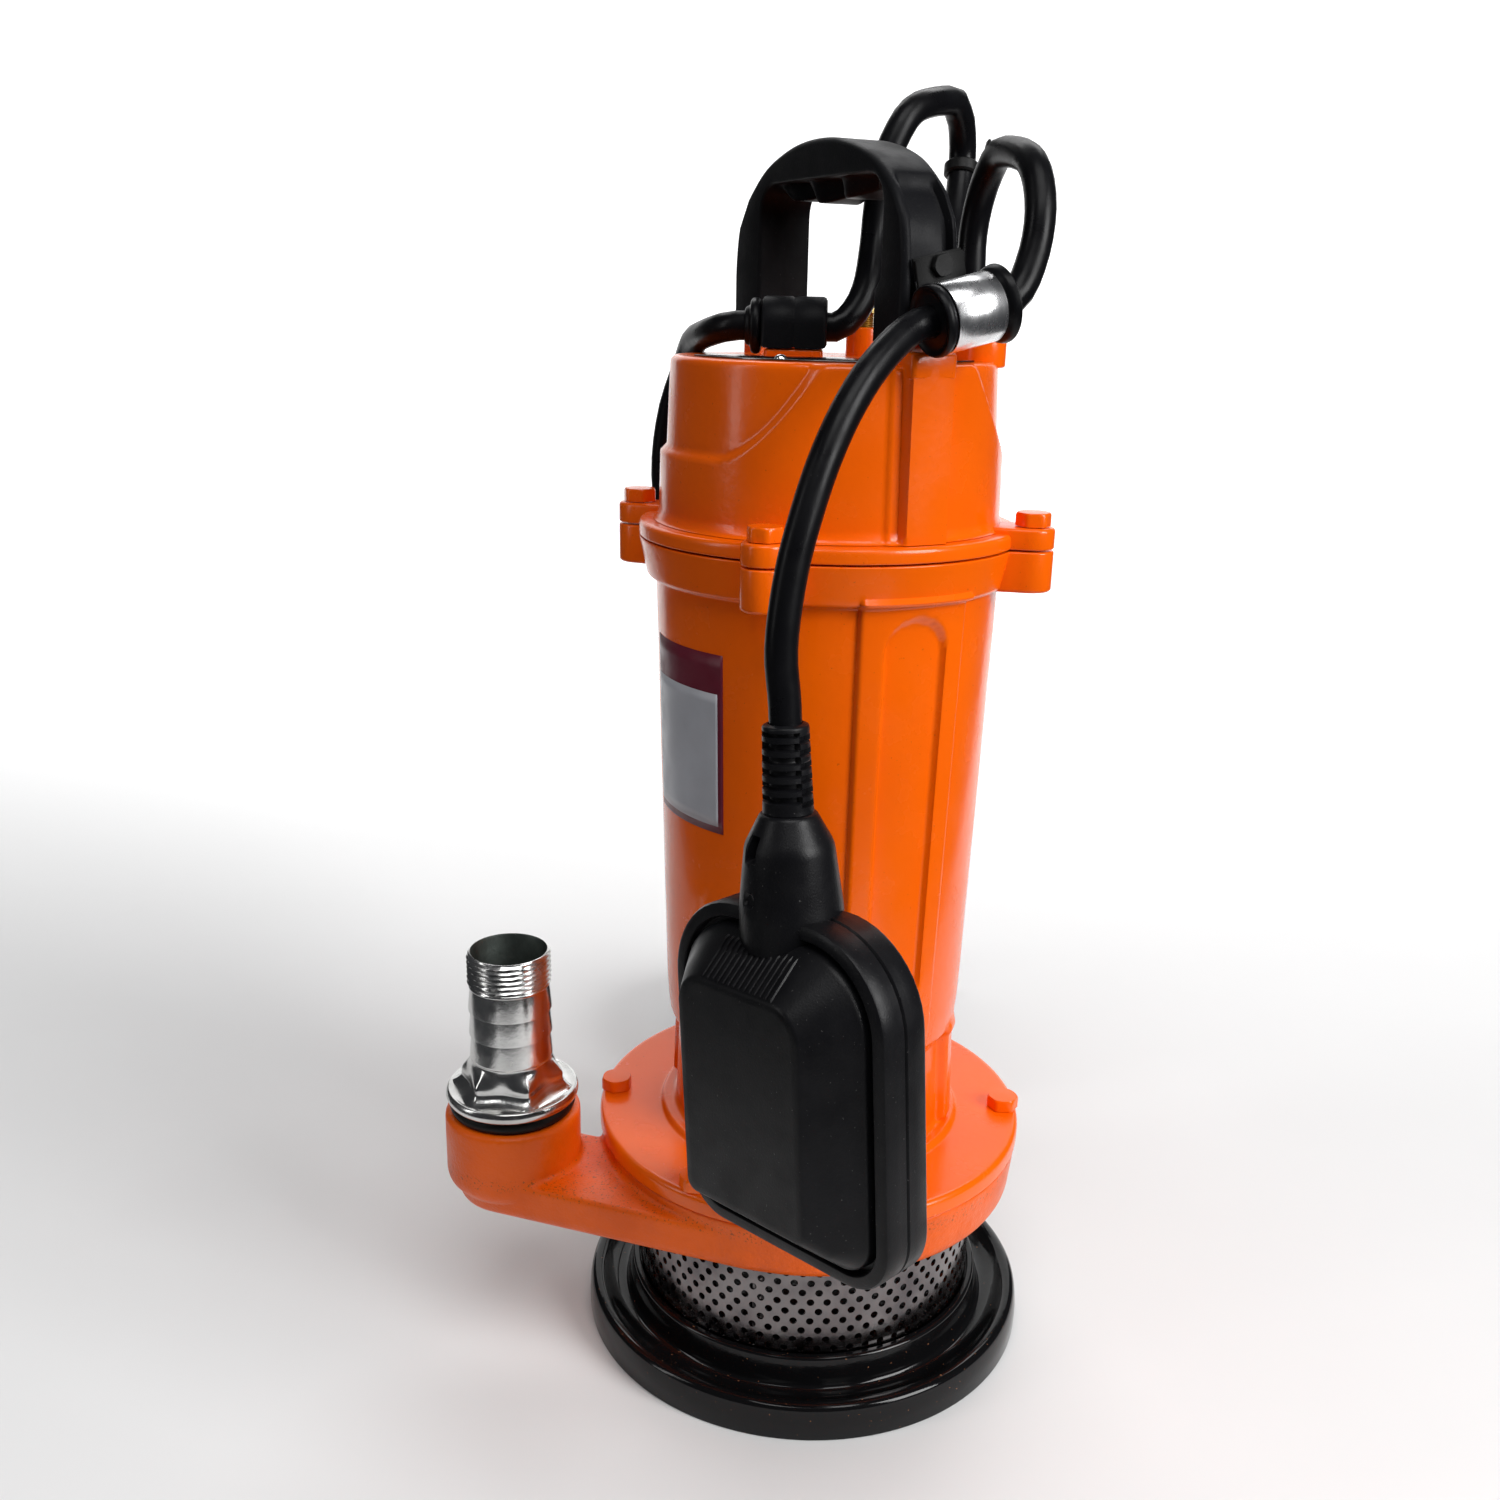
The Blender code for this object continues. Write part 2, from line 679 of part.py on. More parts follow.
def build_volute(orange, iron):
    low_radius = VOLUTE_RADIUS - VOLUTE_DRAFT
    solid = [
        (0, VOLUTE_BOTTOM),
        (low_radius - VOLUTE_DRAFT, VOLUTE_BOTTOM),
        (low_radius, VOLUTE_BOTTOM + VOLUTE_DRAFT),
        (VOLUTE_RADIUS, VOLUTE_TOP),
        (0, VOLUTE_TOP),
    ]
    arm = stadium(-0.5 * OUTLET_X, ARM_HALF_WIDTH, SMALL_STEPS)
    arm_top = VOLUTE_BOTTOM + ARM_HEIGHT
    arm = prism(arm, VOLUTE_BOTTOM, arm_top)
    arm = moved(arm, at(0.5 * OUTLET_X, OUTLET_Y, 0))
    boss = cylinder(BOSS_RADIUS, BOSS_TOP - BOSS_LENGTH, BOSS_TOP, MID_STEPS, OUTLET_X, OUTLET_Y)
    chamber = [
        (0, VOLUTE_BOTTOM - CUT_OVER),
        (SUCTION_SPIGOT_RADIUS, VOLUTE_BOTTOM - CUT_OVER),
        (SUCTION_SPIGOT_RADIUS, CHAMBER_FLOOR),
        (CHAMBER_RADIUS, CHAMBER_FLOOR),
        (CHAMBER_RADIUS, RECESS_FLOOR),
        (RECESS_RADIUS, RECESS_FLOOR),
        (RECESS_RADIUS, VOLUTE_TOP + CUT_OVER),
        (0, VOLUTE_TOP + CUT_OVER),
    ]
    floor = CHAMBER_FLOOR + GAP
    roof = floor + PASSAGE_HEIGHT
    half = 0.5 * PASSAGE_WIDTH
    passage = box((OUTLET_X, OUTLET_Y - half, floor), (0.2 * OUTLET_X, OUTLET_Y + half, roof))
    bore = cylinder(OUTLET_BORE, floor, BOSS_TOP + CUT_OVER, MID_STEPS, OUTLET_X, OUTLET_Y)
    body = joined(lathe(solid, LARGE_STEPS), arm, boss)
    body = cut(body, lathe(chamber, LARGE_STEPS))
    body = cut(body, passage)
    body = cut(body, bore)
    body = cut(body, *flange_holes(VOLUTE_TOP - 0.6 * VOLUTE_HEIGHT, VOLUTE_TOP + CUT_OVER))
    add("volute_casing", body, orange)
    spigot = SUCTION_SPIGOT_RADIUS - GAP
    flange = STAY_CIRCLE - STAY_RADIUS - STAY_GAP
    top = VOLUTE_BOTTOM - GAP
    plate = [
        (INLET_RADIUS, top - SUCTION_FLANGE),
        (flange, top - SUCTION_FLANGE),
        (flange, top),
        (spigot, top),
        (spigot, CHAMBER_FLOOR),
        (INLET_RADIUS, CHAMBER_FLOOR),
    ]
    add("suction_plate", lathe(plate, LARGE_STEPS), iron)


def flange_holes(bottom, top):
    holes = []
    for _, place in around(FLANGE_BOLT_COUNT, FLANGE_BOLT_CIRCLE, FLANGE_BOLT_START):
        holes.append(moved(cylinder(BOLT_RADIUS + GAP, bottom, top, BOLT_STEPS), place))
    return holes


def ear_holes(bottom, top):
    holes = []
    for _, place in around(EAR_COUNT, EAR_CIRCLE):
        holes.append(moved(cylinder(BOLT_RADIUS + GAP, bottom, top, BOLT_STEPS), place))
    return holes


def ears(bottom, top):
    """Bolt ears that stand out from a flange, as separate bodies."""
    outline = [(EAR_ROOT, -EAR_RADIUS)]
    for i in range(9):
        turn = -math.pi / 2 + math.pi * i / 8
        outline.append((EAR_CIRCLE + EAR_RADIUS * math.cos(turn), EAR_RADIUS * math.sin(turn)))
    outline.append((EAR_ROOT, EAR_RADIUS))
    turns = [2 * math.pi * i / EAR_COUNT for i in range(EAR_COUNT)]
    return [moved(prism(outline, bottom, top), turned(turn)) for turn in turns]


def build_fitting(steel, rubber):
    place = at(OUTLET_X, OUTLET_Y, 0)
    bore = FITTING_TUBE_RADIUS - FITTING_WALL
    low = BOSS_TOP + GAP
    add("fitting_gasket", band(bore, FITTING_GASKET_RADIUS, low, GASKET_TOP, MID_STEPS), rubber, place)
    flange_top = FITTING_BOTTOM + FITTING_FLANGE
    hex_top = flange_top + FITTING_HEX_HEIGHT
    mouth = hex_top + FITTING_TUBE_LENGTH
    thread_bottom = mouth - THREAD_LENGTH
    barb_pitch = (thread_bottom - hex_top) / BARB_COUNT
    profile = [
        (bore, FITTING_BOTTOM),
        (FITTING_FLANGE_RADIUS, FITTING_BOTTOM),
        (FITTING_FLANGE_RADIUS, flange_top - 0.3 * FITTING_FLANGE),
        (FITTING_HEX_RADIUS, flange_top),
        (FITTING_TUBE_RADIUS, flange_top),
    ]
    for i in range(BARB_COUNT):
        start = hex_top + i * barb_pitch
        profile.append((FITTING_TUBE_RADIUS, start))
        profile.append((FITTING_TUBE_RADIUS - BARB_STEP, start + barb_pitch))
    profile += [
        (FITTING_TUBE_RADIUS, thread_bottom),
        (FITTING_TUBE_RADIUS, mouth),
        (bore, mouth),
    ]
    hexagon = [
        (circle(FITTING_HEX_RADIUS, 6), flange_top - 0.5 * FITTING_FLANGE),
        (circle(FITTING_HEX_RADIUS, 6), flange_top + 0.5 * FITTING_HEX_HEIGHT),
        (circle(0.95 * FITTING_TUBE_RADIUS, 6), hex_top),
    ]
    body = joined(lathe(profile, MID_STEPS), stack(hexagon))
    body = cut(body, cylinder(bore, FITTING_BOTTOM - CUT_OVER, mouth + CUT_OVER, MID_STEPS))
    add("hose_fitting", body, steel, place)


def build_casing(orange, rubber):
    inner = CASING_BOTTOM_RADIUS - CASING_WALL
    upper_inner = CASING_TOP_RADIUS - 1.2 * CASING_WALL
    seat = BEARING_RADIUS + GAP
    groove_in = SEAL_GROOVE_RADIUS - 0.5 * SEAL_GROOVE_WIDTH
    groove_out = SEAL_GROOVE_RADIUS + 0.5 * SEAL_GROOVE_WIDTH
    groove_floor = FLANGE_TOP - SEAL_GROOVE_DEPTH
    ring_top = DISC_TOP + RING_HEIGHT
    shaft_hole = SHAFT_RADIUS + 4 * PLAY
    round_top = NECK_TOP + CASING_ROUND
    outer = [
        (OIL_RADIUS, DISC_BOTTOM),
        (DISC_RADIUS, DISC_BOTTOM),
        (DISC_RADIUS, DISC_TOP - DISC_ROUND),
        (DISC_RADIUS - 0.3 * DISC_ROUND, DISC_TOP - 0.3 * DISC_ROUND),
        (DISC_RADIUS - DISC_ROUND, DISC_TOP),
        (RING_RADIUS, DISC_TOP),
        (RING_RADIUS - 0.5 * RING_HEIGHT, ring_top),
        (NECK_RADIUS, ring_top),
        (NECK_RADIUS, NECK_TOP),
        (0.6 * NECK_RADIUS + 0.4 * CASING_BOTTOM_RADIUS, NECK_TOP + 0.2 * CASING_ROUND),
        (0.2 * NECK_RADIUS + 0.8 * CASING_BOTTOM_RADIUS, NECK_TOP + 0.6 * CASING_ROUND),
        (CASING_BOTTOM_RADIUS, round_top),
        (CASING_TOP_RADIUS, CASING_TOP),
        (FLANGE_BOTTOM_RADIUS, FLANGE_BOTTOM),
        (FLANGE_RADIUS, FLANGE_TOP),
        (groove_out, FLANGE_TOP),
        (groove_out, groove_floor),
        (groove_in, groove_floor),
        (groove_in, FLANGE_TOP),
    ]
    hollow = [
        (upper_inner, FLANGE_TOP),
        (upper_inner, STATOR_TOP + CASING_RAMP),
        (inner, STATOR_TOP),
        (inner, MOTOR_FLOOR),
        (seat, MOTOR_FLOOR),
        (seat, LOWER_SEAT),
        (shaft_hole, LOWER_SEAT),
        (shaft_hole, OIL_TOP),
        (OIL_RADIUS, OIL_TOP),
    ]
    body = lathe(outer + hollow, LARGE_STEPS)
    body = joined(body, gathered(ears(FLANGE_BOTTOM, FLANGE_TOP)))
    ribs = []
    half = 0.5 * RIB_WIDTH
    rib_low = DISC_TOP + 0.5 * RING_HEIGHT
    rib_top = NECK_TOP + 0.5 * CASING_ROUND
    for _, place in around(RIB_COUNT, NECK_RADIUS):
        ribs.append(moved(box((-RIB_DEPTH, -half, rib_low), (RIB_DEPTH, half, rib_top)), place))
    body = joined(body, gathered(ribs))
    body = cut(body, *flange_holes(DISC_BOTTOM - CUT_OVER, DISC_TOP + CUT_OVER))
    body = cut(body, *ear_holes(FLANGE_BOTTOM - CUT_OVER, FLANGE_TOP + CUT_OVER))
    add("motor_casing", body, orange)
    ring_in = groove_in + GAP
    ring_out = groove_out - GAP
    low, high = groove_floor + GAP, COVER_BOTTOM - GAP
    add("cover_gasket", band(ring_in, ring_out, low, high, LARGE_STEPS), rubber)


def skirt():
    """Thicker lower skin of the cover, high at the pillar and swept down on both sides of it."""
    low = COVER_BOTTOM + 0.5 * COVER_FLANGE
    roof = COVER_TOP - COVER_EDGE
    floor = COVER_BOTTOM + COVER_FLANGE + SKIRT_LOW
    body = bmesh.new()
    rings = []
    for i in range(SKIRT_STEPS):
        turn = 2 * math.pi * i / SKIRT_STEPS - math.pi
        angle = HANDLE_ANGLE + turn
        share = (abs(turn) - SKIRT_FLAT) / SKIRT_SWEEP
        share = min(max(share, 0.0), 1.0)
        top = floor + (roof - floor) * (1 - share) ** 2
        slope = (top - low) / (roof - low)
        radius = SKIRT_BOTTOM_RADIUS + (SKIRT_TOP_RADIUS - SKIRT_BOTTOM_RADIUS) * slope
        inner = SKIRT_INNER_RADIUS
        section = ((inner, low), (SKIRT_BOTTOM_RADIUS, low), (radius, top), (inner, top))
        x, y = math.cos(angle), math.sin(angle)
        rings.append([body.verts.new((r * x, r * y, z)) for r, z in section])
    join_rings(body, rings + rings[:1])
    bmesh.ops.recalc_face_normals(body, faces=body.faces)
    return body


def build_cover(orange, black):
    seat = BEARING_RADIUS + GAP
    hub_bottom = UPPER_SEAT - BEARING_WIDTH
    roof = COVER_TOP - COVER_ROOF
    pocket = SHAFT_RADIUS + 4 * PLAY
    pocket_top = SHAFT_TOP + SHAFT_POCKET
    flange_top = COVER_BOTTOM + COVER_FLANGE
    edge = COVER_TOP - COVER_EDGE
    profile = [
        (0, pocket_top),
        (pocket, pocket_top),
        (pocket, UPPER_SEAT),
        (seat, UPPER_SEAT),
        (seat, hub_bottom),
        (HUB_OUTER_RADIUS, hub_bottom),
        (HUB_OUTER_RADIUS, roof),
        (COVER_INNER_RADIUS, roof),
        (COVER_INNER_RADIUS, COVER_BOTTOM),
        (FLANGE_RADIUS, COVER_BOTTOM),
        (FLANGE_RADIUS, flange_top - 0.3 * COVER_FLANGE),
        (FLANGE_RADIUS - 0.2 * COVER_FLANGE, flange_top),
        (COVER_BOTTOM_RADIUS, flange_top),
        (COVER_TOP_RADIUS, edge),
        (COVER_TOP_RADIUS - 0.3 * COVER_EDGE, COVER_TOP - 0.3 * COVER_EDGE),
        (COVER_TOP_RADIUS - COVER_EDGE, COVER_TOP),
        (0, COVER_TOP),
    ]
    body = lathe(profile, LARGE_STEPS)
    body = joined(body, gathered(ears(COVER_BOTTOM, EAR_TOP)), skirt())
    half = 0.5 * PILLAR_WIDTH
    pillar_low = flange_top - 0.5 * COVER_FLANGE
    pillar = box((SKIRT_INNER_RADIUS, -half, pillar_low), (PILLAR_RADIUS, half, COVER_TOP + PILLAR_RISE))
    body = joined(body, moved(pillar, turned(HANDLE_ANGLE)))
    sunk = COVER_TOP - 0.5 * COVER_ROOF
    pads = []
    inner = HANDLE_HALF_LENGTH - HANDLE_LEG
    for side in (-1, 1):
        near, far = sorted((side * inner, side * (HANDLE_HALF_LENGTH - 0.5 * HANDLE_LEG)))
        deep = 0.5 * HANDLE_DEPTH
        pad = box((near, -deep, sunk), (far, deep, COVER_TOP + HANDLE_PAD))
        pads.append(moved(pad, turned(HANDLE_ANGLE)))
    saddle_half = CORD_HOLE + SLEEVE_WALL + GAP + SADDLE_WALL
    along = 0.45 * SADDLE_LENGTH
    saddle_pad = box((-along, -saddle_half, sunk), (along, saddle_half, SADDLE_PAD_TOP))
    pads.append(moved(saddle_pad, saddle_place(0)))
    gland_pad = prism(stadium(GLAND_BOLT_HALF, CORD_HOLE + GLAND_WALL, 6), sunk, GLAND_PAD_TOP)
    pads.append(moved(gland_pad, gland_place(0)))
    post_top = COVER_TOP + OIL_POST
    pads.append(cylinder(OIL_POST_RADIUS, sunk, post_top, SMALL_STEPS, OIL_PLUG_X, OIL_PLUG_Y))
    body = joined(body, *pads)
    holes = ear_holes(COVER_BOTTOM - CUT_OVER, EAR_TOP + CUT_OVER)
    blind = COVER_TOP + BLIND_FLOOR
    holes.append(cylinder(BOLT_RADIUS + GAP, blind, post_top + CUT_OVER, BOLT_STEPS, OIL_PLUG_X, OIL_PLUG_Y))
    for side in (-1, 1):
        top = GLAND_PAD_TOP + CUT_OVER
        hole = cylinder(GLAND_BOLT_RADIUS + GAP, blind, top, BOLT_STEPS, side * GLAND_BOLT_HALF)
        holes.append(moved(hole, gland_place(0)))
        top = COVER_TOP + HANDLE_PAD + CUT_OVER
        hole = cylinder(SCREW_RADIUS + GAP, roof - CUT_OVER, top, BOLT_STEPS, side * HANDLE_BOLT_PLACE)
        holes.append(moved(hole, turned(HANDLE_ANGLE)))
    body = cut(body, *holes)
    add("top_cover", body, orange)
    base = COVER_BOTTOM + CAPACITOR_LIFT
    top = base + CAPACITOR_HEIGHT
    can = [
        (0, base),
        (CAPACITOR_RADIUS, base),
        (CAPACITOR_RADIUS, top - CAPACITOR_NECK),
        (0.4 * CAPACITOR_RADIUS, top - CAPACITOR_NECK),
        (0.4 * CAPACITOR_RADIUS, top),
        (0, top),
    ]
    x = CAPACITOR_PLACE * math.cos(CAPACITOR_ANGLE)
    y = CAPACITOR_PLACE * math.sin(CAPACITOR_ANGLE)
    add("capacitor", lathe(can, SMALL_STEPS), black, at(x, y, 0))


def saddle_place(height):
    return at(SADDLE_X, SADDLE_Y, height) @ turned(SADDLE_ANGLE)


def gland_place(height):
    return at(GLAND_X, GLAND_Y, height) @ turned(HANDLE_ANGLE)


def build_screws(orange, zinc, yellow):
    reach = EAR_TOP - FLANGE_BOTTOM
    for number, place in around(EAR_COUNT, EAR_CIRCLE):
        screw = bolt(BOLT_ACROSS, BOLT_HEAD, BOLT_RADIUS, reach)
        add(f"cover_bolt_{number}", screw, orange, at(0, 0, EAR_TOP + GAP) @ place)
    reach = DISC_THICKNESS + 0.5 * VOLUTE_HEIGHT
    for number, place in around(FLANGE_BOLT_COUNT, FLANGE_BOLT_CIRCLE, FLANGE_BOLT_START):
        screw = bolt(BOLT_ACROSS, BOLT_HEAD, BOLT_RADIUS, reach)
        add(f"flange_bolt_{number}", screw, orange, at(0, 0, DISC_TOP + GAP) @ place)
    under_roof = COVER_TOP - COVER_ROOF - GAP
    reach = COVER_ROOF + HANDLE_PAD + HANDLE_BOLT_GRIP
    for number, side in ((1, 1), (2, -1)):
        place = turned(HANDLE_ANGLE) @ at(side * HANDLE_BOLT_PLACE, 0, under_roof)
        place = place @ turned(math.pi, "X")
        screw = bolt(SCREW_ACROSS, SCREW_HEAD, SCREW_RADIUS, reach)
        add(f"handle_bolt_{number}", screw, zinc, place)
        place = gland_place(PLATE_TOP + GAP) @ at(side * GLAND_BOLT_HALF, 0, 0)
        grip = PLATE_TOP - COVER_TOP - BLIND_FLOOR - SCREW_SPARE
        screw = bolt(GLAND_BOLT_ACROSS, GLAND_BOLT_HEAD, GLAND_BOLT_RADIUS, grip)
        add(f"gland_bolt_{number}", screw, zinc, place)
    post_top = COVER_TOP + OIL_POST
    plug = bolt(BOLT_ACROSS, OIL_PLUG_HEAD, BOLT_RADIUS, OIL_PLUG_LIFT + OIL_POST - BLIND_FLOOR - SCREW_SPARE)
    add("oil_plug", plug, yellow, at(OIL_PLUG_X, OIL_PLUG_Y, post_top + OIL_PLUG_LIFT))


def build_motor(iron, steel, copper, ceramic):
    play_bore = SHAFT_RADIUS + PLAY
    shaft_bottom = SHROUD_BOTTOM - VANE_HEIGHT - NUT_HEIGHT - SHAFT_TIP
    seal_top = LOWER_SEAT - SEAL_STEP
    shaft = [
        (0, shaft_bottom),
        (SHAFT_END_RADIUS, shaft_bottom),
        (SHAFT_END_RADIUS, IMPELLER_TOP + GAP),
        (SHAFT_SEAL_RADIUS, IMPELLER_TOP + GAP),
        (SHAFT_SEAL_RADIUS, seal_top),
        (SHAFT_RADIUS, seal_top),
        (SHAFT_RADIUS, SHAFT_TOP),
        (0, SHAFT_TOP),
    ]
    add("shaft", lathe(shaft, MID_STEPS), steel)
    upper = UPPER_SEAT - BEARING_WIDTH - GAP
    for name, low in (("lower_bearing", LOWER_SEAT + GAP), ("upper_bearing", upper)):
        ring = band(play_bore, BEARING_RADIUS, low, low + BEARING_WIDTH, MID_STEPS)
        add(name, ring, steel)
    core = STATOR_BORE_RADIUS - PLAY
    fit = SHAFT_RADIUS + GAP
    low, high = STATOR_BOTTOM + ROTOR_SHORT, STATOR_TOP - ROTOR_SHORT
    add("rotor_core", band(fit, core, low, high, MID_STEPS), iron)
    laminations = band(STATOR_BORE_RADIUS, STATOR_RADIUS, STATOR_BOTTOM, STATOR_TOP, LARGE_STEPS)
    slot_circle = 0.5 * (STATOR_BORE_RADIUS + STATOR_RADIUS)
    slots = []
    bars = []
    for _, place in around(SLOT_COUNT, slot_circle):
        low, high = STATOR_BOTTOM - CUT_OVER, STATOR_TOP + CUT_OVER
        slots.append(moved(cylinder(SLOT_RADIUS + GAP, low, high, BOLT_STEPS), place))
        low, high = STATOR_BOTTOM - BAR_REACH, STATOR_TOP + BAR_REACH
        bars.append(moved(cylinder(SLOT_RADIUS, low, high, BOLT_STEPS), place))
    add("stator_core", cut(laminations, *slots), iron)
    ring_in = slot_circle - 0.5 * WINDING_WIDTH
    ring_out = slot_circle + 0.5 * WINDING_WIDTH
    under = STATOR_BOTTOM - GAP
    over = STATOR_TOP + GAP
    rings = [
        band(ring_in, ring_out, under - WINDING_LOWER, under, MID_STEPS),
        band(ring_in, ring_out, over, over + WINDING_UPPER, MID_STEPS),
    ]
    add("stator_winding", joined(gathered(bars), gathered(rings)), copper)
    add_impeller(iron, steel)
    low = RECESS_FLOOR + GAP
    high = low + SEAL_PLATE
    rim = RECESS_RADIUS - GAP
    add("seal_plate", band(SEAL_PLATE_BORE, rim, low, high, LARGE_STEPS), iron)
    bore = SHAFT_SEAL_RADIUS + PLAY
    low = high + GAP
    high = low + SEAL_SEAT_HEIGHT
    add("seal_seat", band(bore, SEAL_SEAT_RADIUS, low, high, MID_STEPS), ceramic)
    low = high + GAP
    high = low + SEAL_RING_HEIGHT
    waist = 0.8 * SEAL_RING_RADIUS
    fit = SHAFT_SEAL_RADIUS + GAP
    ring = [
        (fit, low),
        (SEAL_RING_RADIUS, low),
        (SEAL_RING_RADIUS, low + 0.3 * SEAL_RING_HEIGHT),
        (waist, low + 0.4 * SEAL_RING_HEIGHT),
        (waist, high - 0.2 * SEAL_RING_HEIGHT),
        (SEAL_RING_RADIUS, high - 0.15 * SEAL_RING_HEIGHT),
        (SEAL_RING_RADIUS, high),
        (fit, high),
    ]
    add("seal_ring", lathe(ring, MID_STEPS), steel)


def add_impeller(iron, steel):
    fit = SHAFT_END_RADIUS + GAP
    vane_bottom = SHROUD_BOTTOM - VANE_HEIGHT
    profile = [
        (fit, vane_bottom),
        (HUB_RADIUS, vane_bottom),
        (HUB_RADIUS, SHROUD_BOTTOM),
        (IMPELLER_RADIUS, SHROUD_BOTTOM),
        (IMPELLER_RADIUS, IMPELLER_TOP),
        (fit, IMPELLER_TOP),
    ]
    vane = []
    root = HUB_RADIUS - VANE_INSET
    reach = IMPELLER_RADIUS - VANE_INSET
    for i in range(7):
        share = i / 6
        radius = root + (reach - root) * share
        angle = -VANE_SWEEP * share ** 1.5
        vane.append((radius * math.cos(angle), radius * math.sin(angle)))
    spine = vane[:1] + vane + vane[-1:]
    edge_a = []
    edge_b = []
    for before, point, after in zip(spine, spine[1:], spine[2:]):
        run = Vector((after[0] - before[0], after[1] - before[1])).normalized() * 0.5 * VANE_THICKNESS
        edge_a.append((point[0] + run.y, point[1] - run.x))
        edge_b.append((point[0] - run.y, point[1] + run.x))
    outline = edge_a + edge_b[::-1]
    vanes = []
    for i in range(VANE_COUNT):
        blade = prism(outline, vane_bottom, SHROUD_BOTTOM + 0.5 * IMPELLER_SHROUD)
        vanes.append(moved(blade, turned(2 * math.pi * i / VANE_COUNT)))
    add("impeller", joined(lathe(profile, MID_STEPS), *vanes), iron)
    top = vane_bottom - GAP
    nut = prism(circle(NUT_ACROSS / math.sqrt(3), 6), top - NUT_HEIGHT, top)
    bore = cylinder(fit, top - NUT_HEIGHT - CUT_OVER, top + CUT_OVER)
    add("impeller_nut", cut(nut, bore), steel)


def handle_outline():
    """Arch with a straight-legged opening and finger scallops, as (along, up) points."""
    outer = [(HANDLE_HALF_LENGTH * s, HANDLE_FOOT + HANDLE_HEIGHT * h) for s, h in ARCH]
    top = [(0, HANDLE_FOOT + HANDLE_HEIGHT)]
    mirrored = [(-s, h) for s, h in outer[::-1]]
    inner = HANDLE_HALF_LENGTH - HANDLE_LEG
    under = HANDLE_FOOT + HANDLE_HEIGHT - HANDLE_GRIP - 2 * HANDLE_SCALLOP
    corner = 0.2 * inner
    points = outer + top + mirrored
    points += [(-inner, HANDLE_FOOT), (-inner, under - corner)]
    points.append((-inner + 0.3 * corner, under - 0.3 * corner))
    count = 6 * HANDLE_SCALLOP_COUNT
    for i in range(count + 1):
        share = 2 * i / count - 1
        wave = HANDLE_SCALLOP * math.cos(math.pi * HANDLE_SCALLOP_COUNT * share)
        points.append(((inner - corner) * share, under - wave + HANDLE_SCALLOP))
    points.append((inner - 0.3 * corner, under - 0.3 * corner))
    points += [(inner, under - corner), (inner, HANDLE_FOOT)]
    return points


def build_handle(black):
    outline = handle_outline()
    half = 0.5 * HANDLE_DEPTH
    small = inset_outline(outline, HANDLE_EDGE)
    small = [(s, max(h, HANDLE_FOOT)) for s, h in small]
    flat = half - HANDLE_EDGE
    sections = [(small, -half), (outline, -flat), (outline, flat), (small, half)]
    body = moved(stack(sections), turned(math.pi / 2, "X"))
    holes = []
    for side in (-1, 1):
        top = HANDLE_FOOT + HANDLE_BOLT_GRIP + SCREW_SPARE
        x = side * HANDLE_BOLT_PLACE
        holes.append(cylinder(SCREW_RADIUS + GAP, HANDLE_FOOT - CUT_OVER, top, BOLT_STEPS, x))
    screw = cylinder(GLAND_BOLT_RADIUS + GAP, -CLAMP_SCREW - SCREW_SPARE, CUT_OVER, BOLT_STEPS)
    holes.append(moved(screw, turned(-HANDLE_ANGLE) @ clamp_screw_place()))
    add("carry_handle", cut(body, *holes), black, turned(HANDLE_ANGLE))


def clamp_place():
    """Frame of the float clamp: X away from the handle leg, Z along the cord towards the gland."""
    along = turned(HANDLE_ANGLE)
    centre = at(CLAMP_ALONG, CLAMP_ACROSS, COVER_TOP + CLAMP_RISE)
    return along @ centre @ turned(-math.pi / 2 + CLAMP_TILT, "X")


def clamp_screw_place():
    """Frame of the clamp screw: Z out of the leg, origin on the leg's face."""
    face = HANDLE_HALF_LENGTH - CLAMP_ALONG
    return clamp_place() @ at(face, -0.8 * CLAMP_TAB, 0) @ turned(math.pi / 2, "Y")


